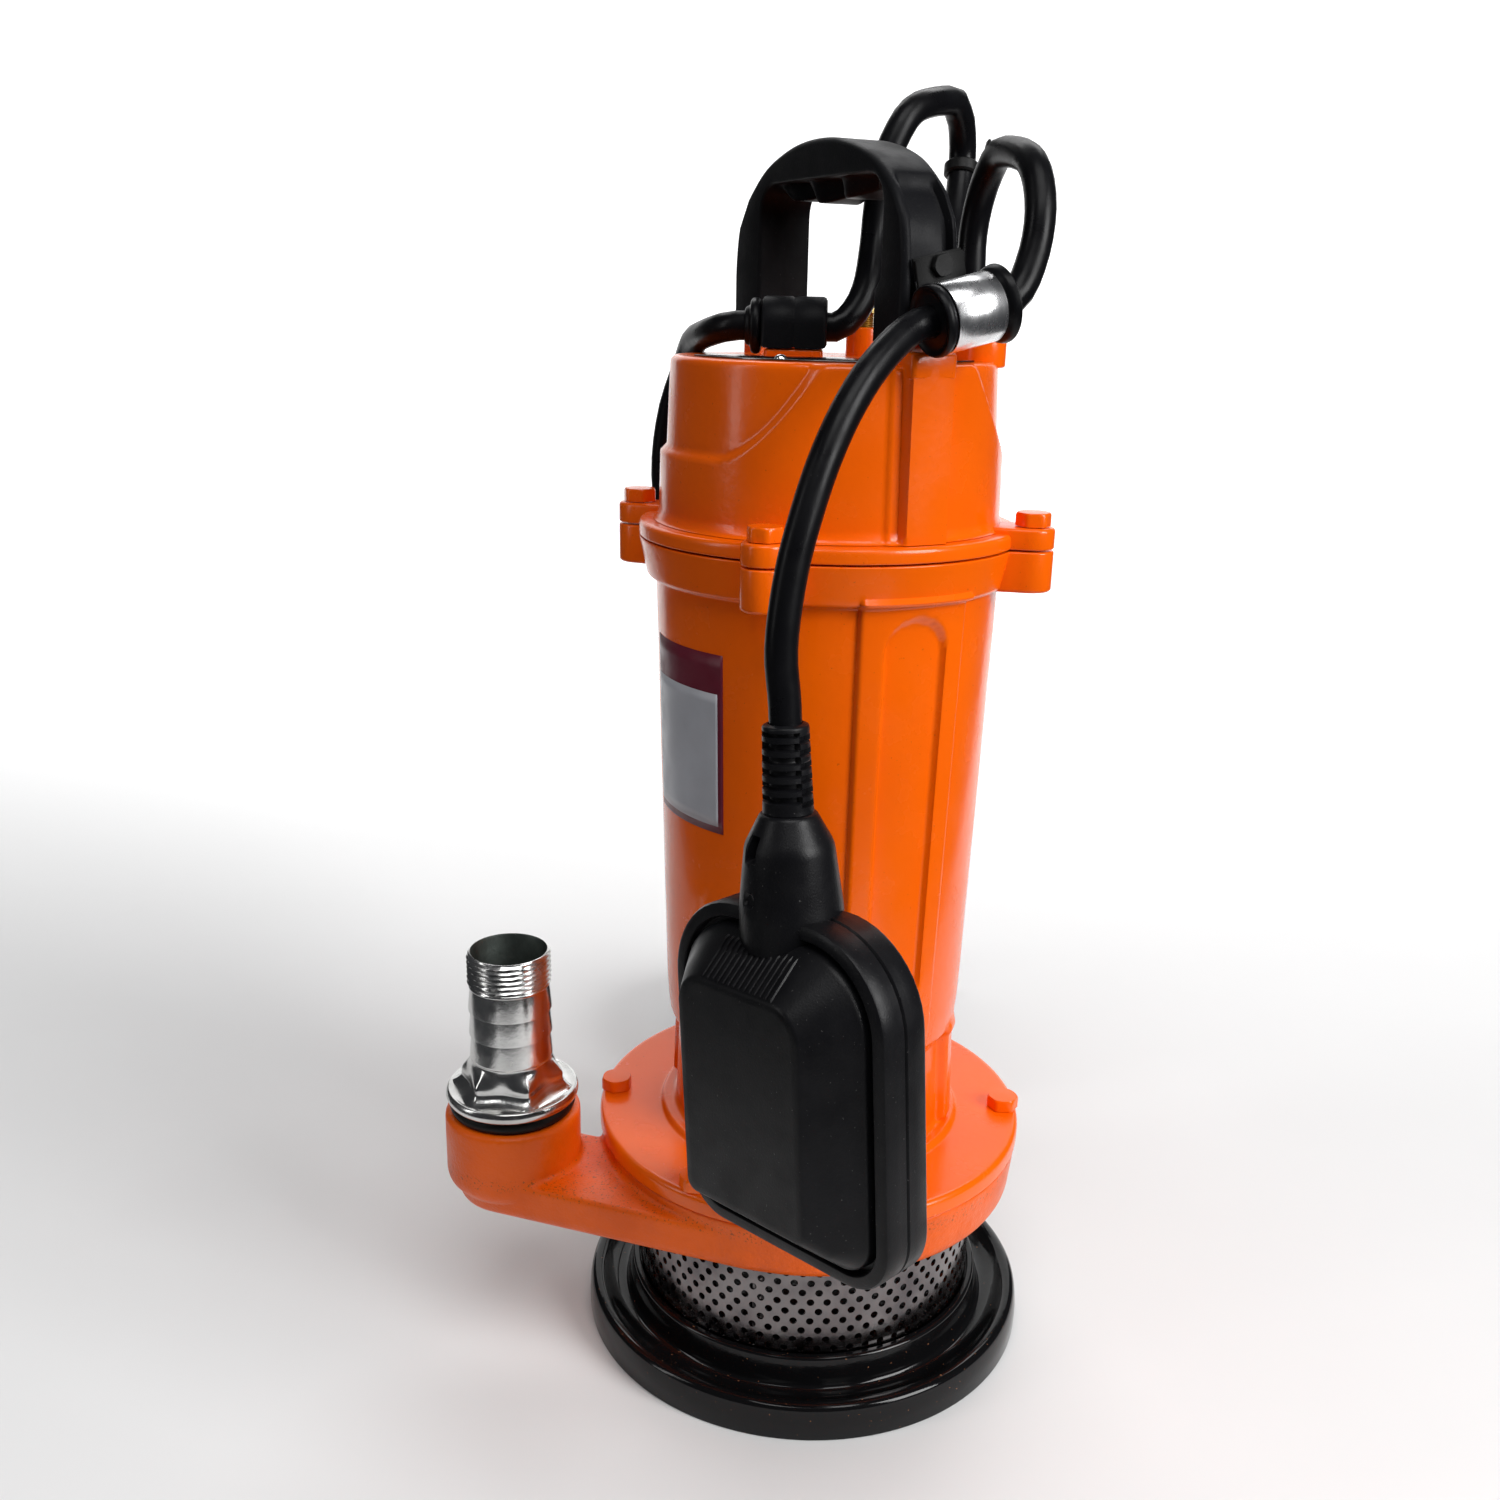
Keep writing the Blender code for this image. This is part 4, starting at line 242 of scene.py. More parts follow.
def metal(name, tone, dull, rough, spread, grain, stretch=(1, 1, 1)):
    look = Look(name).set(Metallic=1.0)
    where = look.stretched(stretch)
    look.to("Base_Color", look.mix(look.ramp(look.noise(70, 5), 0.35, 0.75), tone, dull))
    look.to("Roughness", look.ramp(look.noise(160, 4, 0.6, where), 0.25, 0.75, rough, rough + spread))
    return look.bumps((look.noise(700, 3, 0.6, where), grain)).made


def sticker_paper(name, tone):
    look = Look(name).set(IOR=1.45)
    worn = tuple(0.86 * c for c in tone)
    look.to("Base_Color", look.mix(look.ramp(look.noise(55, 4), 0.3, 0.75), tone, worn))
    look.to("Roughness", look.ramp(look.noise(200, 3), 0.3, 0.7, 0.28, 0.42))
    return look.bumps((look.noise(120, 3), 0.00004)).made


# A finish is a look and a slot name; further down, the imported pieces' materials are matched to looks by
# slot name
Finish = namedtuple("Finish", "look slot")

ENAMEL = Finish(enamel("enamel", 0.00007, 0.000012, 0.35), "orange_enamel")
CASTING = Finish(rough_casting("casting"), "orange_enamel")
HANDLE_BLACK = Finish(
    black_moulding("handle_black", (0.0070, 0.0071, 0.0085), 0.46, 0.00006, 0.14, 0.10), "black_plastic")
FLOAT_BLACK = Finish(
    black_moulding("float_black", (0.0060, 0.0060, 0.0072), 0.37, 0.00004, 0.30), "black_plastic")
RUBBER = Finish(
    black_moulding("rubber", (0.0045, 0.0045, 0.0055), 0.32, 0.00002, 0.10, 0.16), "black_rubber")
GASKET = Finish(black_moulding("gasket", (0.006, 0.006, 0.006), 0.5, 0.00004, 0.1), "black_rubber")
TIE_BLACK = Finish(GASKET.look, "black_plastic")
DARK_STEEL = Finish(GASKET.look, "stainless_steel")
GLOSS = Finish(gloss_black("gloss_black"), "black_enamel")
STEEL = Finish(
    metal("steel", (0.24, 0.225, 0.225), (0.13, 0.12, 0.125), 0.10, 0.12, 0.00003, (1, 1, 0.15)),
    "stainless_steel")
BRIGHT = Finish(metal("bright", (0.66, 0.66, 0.65), (0.48, 0.475, 0.46), 0.14, 0.14, 0.00003), "chrome")
CHROME = Finish(
    metal("chrome_band", (0.86, 0.86, 0.87), (0.72, 0.72, 0.73), 0.22, 0.10, 0.00002, (1, 1, 0.3)), "chrome")
ZINC = Finish(metal("zinc", (0.62, 0.62, 0.63), (0.46, 0.46, 0.47), 0.28, 0.16, 0.00004), "zinc_plate")
YELLOW = Finish(
    metal("yellow_zinc_look", (0.60, 0.45, 0.17), (0.40, 0.31, 0.13), 0.28, 0.18, 0.00004), "yellow_zinc")
IRON = Finish(metal("iron", (0.20, 0.20, 0.21), (0.12, 0.12, 0.13), 0.45, 0.2, 0.0001), "cast_iron")
COPPER = Finish(
    metal("copper", (0.62, 0.25, 0.10), (0.45, 0.17, 0.07), 0.25, 0.2, 0.00005, (1, 1, 6)), "copper_wire")
CERAMIC = Finish(sticker_paper("ceramic_look", (0.74, 0.72, 0.67)), "ceramic")
PAPER = Finish(sticker_paper("label_paper", (0.48, 0.49, 0.53)), "ceramic")
BORDER = Finish(sticker_paper("label_border", (0.14, 0.012, 0.028)), "ceramic")
BORE_LOOK = metal("bore_shade", (0.10, 0.115, 0.105), (0.05, 0.06, 0.055), 0.45, 0.2, 0.00008)


# Meshes
def new_mesh(name, verts, faces):
    mesh = bpy.data.meshes.new(name)
    mesh.from_pydata([tuple(v) for v in verts], [], faces)
    return mesh


def merge(mesh, near=2e-6, wall=0.0):
    """Join points that meet, turn the faces outwards and thicken a sheet to its wall."""
    shape = bmesh.new()
    shape.from_mesh(mesh)
    bmesh.ops.remove_doubles(shape, verts=shape.verts, dist=near)
    bmesh.ops.recalc_face_normals(shape, faces=shape.faces)
    if wall:
        sheet = shape.verts[:] + shape.edges[:] + shape.faces[:]
        bmesh.ops.solidify(shape, geom=sheet, thickness=wall)
    shape.to_mesh(mesh)
    shape.free()


def make(name, shape, finish, **more):
    """Piece from a pair of points and faces."""
    return dress(name, new_mesh(name, *shape), finish, **more)


def dress(name, mesh, finish, body="pump", place=None, sharp=38, node=None):
    """Piece from a mesh: its look, its place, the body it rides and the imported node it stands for."""
    merge(mesh)
    mesh.materials.append(finish.look)
    mesh.shade_smooth()
    mesh.set_sharp_from_angle(angle=math.radians(sharp))
    made = link(name, mesh)
    if place is not None:
        mesh.transform(place)
    if body:
        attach(made, body)
    if node:
        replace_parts(made, node)
    return made


def repaint(made, look, chosen):
    """Give a second look to the faces whose centre is chosen."""
    made.data.materials.append(look)
    for face in made.data.polygons:
        face.material_index = int(chosen(face.center))


def skin(rings, low_cap=True, high_cap=True, wrap=True):
    """Faces through rings of equal count."""
    count = len(rings[0])
    verts = [tuple(p) for ring in rings for p in ring]
    faces = []
    last = count if wrap else count - 1
    for k in range(len(rings) - 1):
        for i in range(last):
            j = (i + 1) % count
            faces.append((k * count + i, k * count + j, (k + 1) * count + j, (k + 1) * count + i))
    if low_cap:
        faces.append(tuple(range(count - 1, -1, -1)))
    if high_cap:
        start = (len(rings) - 1) * count
        faces.append(tuple(range(start, start + count)))
    return verts, faces


def hoop(rings, wrap=True):
    """Faces through rings and from the last back to the first."""
    return skin(rings + rings[:1], False, False, wrap)


def fillet(points, steps=5):
    """Round the corners of an open line of (x, y, radius) points."""
    flat = [np.array(p[:2], float) for p in points]
    made = [flat[0]]
    for before, corner, after, spec in zip(flat, flat[1:], flat[2:], points[1:-1]):
        radius = spec[2] if len(spec) > 2 else 0.0
        if radius <= 0:
            made.append(corner)
            continue
        run_in, run_out = before - corner, after - corner
        reach = min(radius, 0.48 * np.linalg.norm(run_in), 0.48 * np.linalg.norm(run_out))
        a = corner + run_in / np.linalg.norm(run_in) * reach
        b = corner + run_out / np.linalg.norm(run_out) * reach
        for i in range(steps + 1):
            t = i / steps
            made.append(a * (1 - t) ** 2 + corner * 2 * t * (1 - t) + b * t * t)
    made.append(flat[-1])
    return made


def dense(line, step):
    """Split a line so that no part is longer than a step."""
    line = [np.array(p) for p in line]
    made = [line[0]]
    for a, b in zip(line, line[1:]):
        parts = max(1, math.ceil(np.linalg.norm(b - a) / step))
        made += [a + (b - a) * (i + 1) / parts for i in range(parts)]
    return made


def full_turn(steps):
    return np.linspace(0, 2 * math.pi, steps, endpoint=False)


def raised(flat, height):
    return np.column_stack((flat, np.full(len(flat), height)))


def ring_at(radius, turns, height):
    return raised(np.column_stack((radius * np.cos(turns), radius * np.sin(turns))), height)


def revolve(line, steps, shape=None):
    """Rings about Z from a line of (radius, height); shape may change each ring's radius."""
    turns = full_turn(steps)
    rings = []
    for radius, height in line:
        ring = np.full(steps, radius)
        if shape:
            ring = shape(turns, ring, height)
        rings.append(ring_at(ring, turns, height))
    return rings


OPEN, TOPPED, CAPPED = (False, False), (False, True), (True, True)


def turned_part(name, line, finish, steps=96, shape=None, caps=None, **more):
    """Piece turned about Z from a closed section, or from an open line with caps at its ends."""
    rings = revolve(line, steps, shape)
    return make(name, skin(rings, *caps) if caps else hoop(rings), finish, **more)


def apart(angle, centre):
    """Signed angle from a centre, in -pi to pi."""
    return (angle - centre + math.pi) % (2 * math.pi) - math.pi


def outline_circle(radius, steps, x=0.0, y=0.0):
    turns = full_turn(steps)
    return np.column_stack((x + radius * np.cos(turns), y + radius * np.sin(turns)))


def arc(cx, cy, radius, start, sweep, steps):
    """Points of an arc, its angles in degrees."""
    turns = [math.radians(start + sweep * i / steps) for i in range(steps + 1)]
    return [(cx + radius * math.cos(t), cy + radius * math.sin(t)) for t in turns]


def stadium(half, radius, steps):
    return np.array(arc(half, 0, radius, -90, 180, steps) + arc(-half, 0, radius, 90, 180, steps))


def rounded_rect(x0, y0, x1, y1, radius, steps=4):
    left, right, low, high = x0 + radius, x1 - radius, y0 + radius, y1 - radius
    points = []
    for cx, cy, start in ((right, low, -90), (right, high, 0), (left, high, 90), (left, low, 180)):
        points += arc(cx, cy, radius, start, 90, steps)
    return np.array(points)


def shrink(outline, distance):
    """Move a counter-clockwise outline inwards."""
    before, after = np.roll(outline, 1, axis=0), np.roll(outline, -1, axis=0)
    run_a, run_b = outline - before, after - outline
    run_a /= np.linalg.norm(run_a, axis=1)[:, None] + 1e-12
    run_b /= np.linalg.norm(run_b, axis=1)[:, None] + 1e-12
    normal = np.column_stack((-(run_a[:, 1] + run_b[:, 1]), run_a[:, 0] + run_b[:, 0]))
    normal /= np.linalg.norm(normal, axis=1)[:, None] + 1e-12
    return outline + normal * distance


def slab(outline, low, high, edge, low_edge=None, steps=4):
    """Rings of a block with rounded top and bottom edges."""
    low_edge = edge if low_edge is None else low_edge
    turns = [QUARTER * i / steps for i in range(steps + 1)]
    rings = []
    for turn in turns:
        inset, lift = low_edge * (1 - math.sin(turn)), low_edge * (1 - math.cos(turn))
        rings.append(raised(shrink(outline, inset), low + lift))
    for turn in turns:
        inset, drop = edge * (1 - math.cos(turn)), edge * (1 - math.sin(turn))
        rings.append(raised(shrink(outline, inset), high - drop))
    return rings


def block(name, outline, low, high, edge, finish, low_edge=None, **more):
    rings = slab(np.array(outline, float), low, high, edge, low_edge)
    return make(name, skin(rings), finish, **more)


def hexagon(corner):
    """Hexagon with slightly rounded corners."""
    side_steps, blunt, swell = 8, 0.94, 0.02
    turns = full_turn(6 * side_steps)
    side = corner * math.cos(math.pi / 6) / np.cos((turns % (math.pi / 3)) - math.pi / 6)
    radius = np.minimum(side, blunt * corner + swell * corner * np.cos(6 * turns))
    return np.column_stack((radius * np.cos(turns), radius * np.sin(turns)))


def bolt_head(name, across, head, finish, place, node, washer=0.0):
    """Hexagon head with a chamfered top, on a washer where it has one."""
    corner = across / math.sqrt(3)
    flat = hexagon(corner)
    ring = outline_circle(0.87 * corner, len(flat))
    levels = []
    if washer:
        wide = outline_circle(1.12 * corner, len(flat))
        levels += [(wide, 0.0), (wide, 0.6 * washer), (shrink(wide, 0.3 * washer), washer)]
    levels += [
        (flat, washer), (flat, 0.80 * head), (0.55 * flat + 0.45 * ring, 0.93 * head),
        (0.2 * flat + 0.8 * 0.97 * ring, head), (0.55 * ring, 1.02 * head),
    ]
    shape = skin([raised(outline, height) for outline, height in levels])
    return make(name, shape, finish, place=place, node=node, sharp=30)


# Places on the pump
CLAMP_LIP = 0.011
RELIEF_TOP = 0.0518
GLAND_HOLE, GLAND_BOLT = 0.0059, 0.0148
FLOAT_SPOT = (0.0217, -0.1021, 0.2001)
ROOF = Vector((0, 0, COVER_TOP))


def saddle_place(height):
    return at(-0.0105, -0.0085, height) @ turned(math.radians(195))


def gland_place(height):
    return at(0.0346, 0.0208, height) @ turned(DIAGONAL)


def gland_hole(side, height):
    return gland_place(height) @ Vector((GLAND_HOLE * side, 0, 0))


def clamp_place():
    lean = math.radians(13)
    return turned(DIAGONAL) @ at(0.0645, 0.0044, COVER_TOP + 0.0144) @ turned(lean - QUARTER, "X")


def clamp_axis(height):
    return clamp_place() @ Vector((0, 0, height))


def float_place():
    return at(*FLOAT_SPOT) @ turned(math.radians(-27.8)) @ turned(math.radians(-4.7), "Y")


def plug_place():
    return at(COIL_X - 0.038, COIL_Y + 0.083, 0.0186) @ turned(math.radians(27))


# Coil of the power cord
COIL_X, COIL_Y, COIL_RADIUS, COIL_PITCH = -0.0445, 0.165, 0.0575, 0.0096
COIL_START = math.radians(209)
COIL_SWEEP = 2 * math.pi * 13 + math.radians(24)
COIL_LAYERS, COIL_STEPS, COIL_LIFT = 6, 520, 0.0001


def coil_point(share):
    """Point of the coil: it spirals in and out steadily and climbs where the spiral turns back."""
    swept = share * COIL_SWEEP
    layer_sweep = COIL_SWEEP / COIL_LAYERS
    layer = min(int(swept / layer_sweep), COIL_LAYERS - 1)
    part = swept - layer * layer_sweep
    inwards = part if layer % 2 == 0 else layer_sweep - part
    radius = COIL_RADIUS - COIL_PITCH * inwards / (2 * math.pi)
    climb = 0.0
    for turn in range(1, COIL_LAYERS):
        climb += float(smooth(-0.5, 0.5, (swept - turn * layer_sweep) / math.pi))
    angle = COIL_START - swept
    height = CORD_RADIUS + COIL_LIFT + COIL_PITCH * climb
    return Vector((COIL_X + radius * math.cos(angle), COIL_Y + radius * math.sin(angle), height))


# Points of the cords between their fixed ends, with heights from the cover's roof
REAR_LOOP = (
    (0.0280, 0.0425, 0.0418), (0.0266, 0.0542, 0.0611), (0.0265, 0.0517, 0.0715),
    (0.0257, 0.0480, 0.0763), (0.0240, 0.0430, 0.0791), (0.0169, 0.0247, 0.0749),
    (0.0123, 0.0180, 0.0656), (0.0094, 0.0152, 0.0545), (0.0084, 0.0140, 0.0424),
    (0.0086, 0.0112, 0.0340), (0.0090, 0.0034, 0.0218), (0.0066, -0.0014, 0.0139),
)
SIDE_DROP = (
    (-0.0353, -0.0093, 0.0078), (-0.0437, 0.0003, 0.0058), (-0.0515, 0.0117, 0.0031),
    (-0.0583, 0.0212, -0.0057), (-0.0652, 0.0255, -0.0212), (-0.0683, 0.0272, -0.0412),
    (-0.0667, 0.0292, -0.0632), (-0.0645, 0.0361, -0.0932), (-0.0632, 0.0447, -0.1332),
    (-0.0655, 0.0640, -0.1832), (-0.0705, 0.0800, -0.2432), (-0.0755, 0.0935, -0.2912),
    (-0.0795, 0.1050, -0.3197),
)
FRONT_LOOP = (
    (0.0384, 0.0180, 0.0366), (0.0400, 0.0168, 0.0468), (0.0436, 0.0119, 0.0555),
    (0.0484, 0.0050, 0.0600), (0.0594, -0.0122, 0.0560), (0.0642, -0.0205, 0.0440),
    (0.0638, -0.0255, 0.0294),
)
FLOAT_DROP = (
    (0.0314, -0.0670, 0.0021), (0.0265, -0.0778, -0.0092), (0.0226, -0.0866, -0.0229),
    (0.0196, -0.0931, -0.0379), (0.0173, -0.0974, -0.0531), (0.0162, -0.1001, -0.0714),
)


# Cords
def spline(knots, parts):
    """Smooth curve through the knots; the first and the last only steer it."""
    fine = []
    for a, b, c, d in zip(knots, knots[1:], knots[2:], knots[3:]):
        for step in range(parts):
            t = step / parts
            bend = (2 * a - 5 * b + 4 * c - d) * t * t + (3 * b - 3 * c + d - a) * t ** 3
            fine.append(0.5 * (2 * b + (c - a) * t + bend))
    return fine + [knots[-2]]


def path_length(path):
    return sum((q - p).length for p, q in zip(path, path[1:]))


def tube_path(knots, spacing):
    """Points at even steps on a smooth curve; the first and last stretch stay straight."""
    fine = spline(knots, 24)
    total = path_length(fine)
    count = max(2, round(total / spacing))
    path = [knots[0], fine[0]]
    walked = 0.0
    for p, q in zip(fine, fine[1:]):
        walked += (q - p).length
        if walked >= total / count * (len(path) - 1) - 1e-9 and len(path) < count + 1:
            path.append(q)
    return path + [fine[-1], knots[-1]]


def over_roof(points):
    return [ROOF + Vector(p) for p in points]


def gland_exit(side):
    return [gland_hole(side, GLAND_PAD_TOP + 0.001), gland_hole(side, PLATE_TOP + 2 * CORD_RADIUS)]


def loop_route():
    """Power cord from the gland over the rear loop into the saddle."""
    saddle = saddle_place(SADDLE_AXIS)
    ends = [saddle @ Vector((-0.01225, 0, 0)), saddle @ Vector((0, 0, 0))]
    return tube_path(gland_exit(-1) + over_roof(REAR_LOOP) + ends, 0.004)


def side_route():
    """Power cord from the saddle down behind the casing to the coil."""
    saddle, start = saddle_place(SADDLE_AXIS), coil_point(0.0)
    away = (start - coil_point(0.001)).normalized()
    away.z = 0
    points = [saddle @ Vector((GAP, 0, 0)), saddle @ Vector((0.0175, 0, 0))] + over_roof(SIDE_DROP)
    points.append(start + away * 2.5 * COIL_PITCH + Vector((0, 0, CORD_RADIUS)))
    points += [start + away * COIL_PITCH, start + away * 3 * GAP]
    return tube_path(points, 0.006)


def tail_route(coil):
    """Power cord from the end of the coil into the plug."""
    end, leave, plug = coil[-1], (coil[-1] - coil[-2]).normalized(), plug_place()
    points = [end, end + leave * 0.012, end + leave * 0.034 + Vector((0.002, 0.004, -2 * CORD_RADIUS))]
    for along, rise in ((-5 * CORD_RADIUS, 0.5 * CORD_RADIUS), (-2 * CORD_RADIUS, 0), (0.020, 0)):
        points.append(plug @ Vector((along, 0, rise)))
    return tube_path(points, 0.005)


def power_route():
    coil = [coil_point(i / COIL_STEPS) for i in range(COIL_STEPS + 1)]
    return loop_route()[:-1] + side_route() + coil[1:] + tail_route(coil)[1:]


def front_route():
    """Float cord from the gland over the front loop into the clamp."""
    ends = [clamp_axis(CLAMP_LIP + CORD_RADIUS), clamp_axis(0)]
    return tube_path(gland_exit(1) + over_roof(FRONT_LOOP) + ends, 0.004)


def hanging_route():
    """Float cord from the clamp down into the float."""
    body = float_place()
    points = [clamp_axis(0), clamp_axis(-CLAMP_LIP - CORD_RADIUS)] + over_roof(FLOAT_DROP)
    points += [body @ Vector((0, 0, RELIEF_TOP + CORD_RADIUS)), body @ Vector((0, 0, 0.030))]
    return tube_path(points, 0.004)


def spaced(path, least=0.0012):
    """Drop points that lie almost on the one before."""
    kept = [path[0]]
    for p in path[1:-1]:
        if (p - kept[-1]).length > least:
            kept.append(p)
    return kept + [path[-1]]


def cord_curve(name, path, *nodes):
    shape = bpy.data.curves.new(name, "CURVE")
    shape.dimensions = "3D"
    shape.bevel_depth = CORD_RADIUS
    shape.bevel_resolution = 6
    shape.use_fill_caps = True
    line = shape.splines.new("POLY")
    line.points.add(len(path) - 1)
    for point, where in zip(line.points, path):
        point.co = (*where, 1.0)
    shape.materials.append(RUBBER.look)
    made = link(name, shape)
    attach(made, "pump")
    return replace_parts(made, *nodes)


def tube_rings(path, radius, sides=20):
    """Rings along a path, carried from one to the next without twist."""
    rings = []
    side = None
    for i, p in enumerate(path):
        run = (path[min(i + 1, len(path) - 1)] - path[max(i - 1, 0)]).normalized()
        if side is None:
            side = run.orthogonal().normalized()
        side = (side - run * side.dot(run)).normalized()
        other = run.cross(side)
        turns = [2 * math.pi * k / sides for k in range(sides)]
        rings.append([p + radius * (side * math.cos(t) + other * math.sin(t)) for t in turns])
    return rings


def bending_drop(path):
    """Lower float cord, a fixed tube from the clamp down into the float."""
    shape = skin(tube_rings(path, CORD_RADIUS))
    drop = make("float_cord_drop", shape, RUBBER, body=None, node="float_cord_lower")
    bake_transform(drop)
    return drop


POWER, FRONT, HANGING = spaced(power_route()), spaced(front_route()), spaced(hanging_route())
POWER_CORD = cord_curve("power_cord", POWER, "power_cord_upper", "power_cord_lower", "cord_coil")
FRONT_CORD = cord_curve("float_cord_loop", FRONT, "float_cord_upper")
DROP = bending_drop(HANGING)


# Foot, strainer and volute
def build_foot():
    """Pressed dish with a well, a collar for the strainer and a rolled rim."""
    sheet, seat, collar, well, radius = 0.0015, 0.0613, 0.0638, 0.0575, 0.080
    skirt = radius - 0.0018
    line = fillet([
        (0.0, sheet), (well, sheet), (well, 0.0135, 0.001), (seat, 0.0135), (seat, 0.0195, 0.0005),
        (collar, 0.0195, 0.0014), (collar + 0.0016, 0.0090, 0.0045), (0.0690, 0.0086, 0.0030),
        (0.0722, 0.0100, 0.0030), (0.0757, 0.0130, 0.0026), (0.0790, 0.0122, 0.0036),
        (radius, 0.0070, 0.0034), (radius - 0.0002, 0.0, 0.0006), (skirt, 0.0, 0.0004),
        (skirt, 0.007, 0.002), (0.0748, 0.0088, 0.002), (0.070, 0.0068, 0.002), (collar, 0.0070),
        (seat, 0.012), (well + sheet, 0.012), (well + sheet, 0.0, 0.0004), (0.0, 0.0),
    ], 6)
    line = [(max(r, 0.0004), z) for r, z in line]
    turned_part("foot_dish", line, GLOSS, 160, node="base_foot")


def build_strainer():
    """Sheet with round holes in staggered rows between two plain bands."""
    radius, wall, columns, rows = 0.0608, 0.0008, 68, 10
    pitch, rise, hole = 2 * math.pi / columns, 0.0037, 0.0013
    bottom, low, top = 0.0142, 0.0190, 0.0566
    half, tall, high = 0.5 * pitch, 0.5 * rise, low + rise * rows
    corners = ((1, 0), (1, 1), (0, 1), (-1, 1), (-1, 0), (-1, -1), (0, -1), (1, -1))
    verts, faces = [], []

    def spot(turn, height):
        verts.append((radius * math.cos(turn), radius * math.sin(turn), height))
        return len(verts) - 1

    def cell(centre, middle):
        outer = [spot(centre + half * s, middle + tall * z) for s, z in corners]
        inner = []
        for turn in full_turn(16):
            inner.append(spot(centre + hole / radius * math.cos(turn), middle + hole * math.sin(turn)))
        for k in range(8):
            n = (k + 1) % 8
            h0, h1, h2 = inner[2 * k], inner[2 * k + 1], inner[2 * n]
            faces.extend([(outer[k], h1, h0), (outer[k], outer[n], h1), (outer[n], h2, h1)])

    for row in range(rows):
        for column in range(columns):
            cell(half * (row % 2) + pitch * column, low + rise * (row + 0.5))
    for z0, z1 in ((bottom, low), (high, top)):
        for k in range(2 * columns):
            a, b = half * k, half * (k + 1)
            faces.append((spot(a, z0), spot(b, z0), spot(b, z1), spot(a, z1)))
    mesh = new_mesh("strainer_sheet", verts, faces)
    merge(mesh, 1e-5, wall)
    dress("strainer_sheet", mesh, STEEL, node="strainer")


def bake(made):
    """Replace an object's mesh by what its modifiers make of it."""
    graph = bpy.context.evaluated_depsgraph_get()
    mesh = bpy.data.meshes.new_from_object(made.evaluated_get(graph))
    old = made.data
    made.modifiers.clear()
    made.data = mesh
    bpy.data.meshes.remove(old)


def boolean(first, second, operation):
    """Join a work object to another or cut it away, and use it up."""
    step = first.modifiers.new("step", "BOOLEAN")
    step.operation = operation
    step.solver = "EXACT"
    step.object = second
    bake(first)
    mesh = second.data
    bpy.data.objects.remove(second, do_unlink=True)
    bpy.data.meshes.remove(mesh)


def work_object(shape):
    mesh = new_mesh("work", *shape)
    merge(mesh)
    return link("work", mesh)


def lathe_solid(line, steps):
    return work_object(skin(revolve(line, steps)))


def build_volute():
    """Cast volute: drum, side arm and boss, hollowed and bored, with its edges melted together."""
    low, top, chamber, seat = 0.057, 0.0757, 0.062, 0.0717
    reach, voxel = 0.0456, 0.00090
    body = lathe_solid([(0.0700, low), (0.0722, low + 0.0008), (0.0735, low + 0.003), (0.0752, top)], 192)
    arm = stadium(reach, 0.0195, 24) + np.array((-reach, OUTLET[1]))
    boolean(body, work_object(skin(slab(arm, low, low + 0.0146, 0.0012, 0.0045))), "UNION")
    boss = outline_circle(0.0233, 72, *OUTLET)
    boolean(body, work_object(skin(slab(boss, 0.0628, 0.090, 0.0016, 0.0055))), "UNION")
    hollow = lathe_solid([
        (0.043, low - 0.01), (0.043, chamber), (0.058, chamber), (0.058, seat), (0.0635, seat),
        (0.0635, top + 0.01),
    ], 96)
    boolean(body, hollow, "DIFFERENCE")
    bore = outline_circle(0.0145, 48, *OUTLET)
    boolean(body, work_object(skin([raised(bore, z) for z in (0.066, 0.1)])), "DIFFERENCE")
    remesh = body.modifiers.new("even", "REMESH")
    remesh.mode = "VOXEL"
    remesh.voxel_size = voxel
    relax = body.modifiers.new("relax", "SMOOTH")
    relax.factor = 0.5
    relax.iterations = 3
    bake(body)
    mesh = body.data
    bpy.data.objects.remove(body, do_unlink=True)
    dress("volute_cast", mesh, CASTING, sharp=70, node="volute_casing")


# Hose fitting
TUBE, TUBE_BORE = 0.0139, 0.0126


def hex_ring(turns, rise):
    """Radius of the pressed hexagon at a share of its height: flared below, rolled into the tube above."""
    flat, corner, tilt = 0.0156, 0.0177, math.radians(14)
    facet = (turns - tilt) % (math.pi / 3) - math.pi / 6
    six = np.minimum(flat / np.cos(facet), corner)
    press = 0.0007 * math.sin(math.pi * min(1.0, rise * 1.25)) * np.cos(3 * facet) ** 2
    flare = 0.0034 * max(0.0, 1 - rise / 0.30) ** 2.2
    fade = smooth(0.38, 1.0, rise)
    return (six - press) * (1 - fade) + TUBE * fade + flare


def thread_ring(turns, climb):
    """Radius of the thread at a height above its start, where it grows out of the tube."""
    pitch, root, depth, run_out = 0.00178, 0.0004, 0.00095, 0.0015
    tooth = np.abs(((climb / pitch - turns / (2 * math.pi)) % 1.0) * 2 - 1)
    grow = min(1.0, climb / run_out)
    return TUBE - root * grow + depth * grow * (1 - tooth) - 0.0002


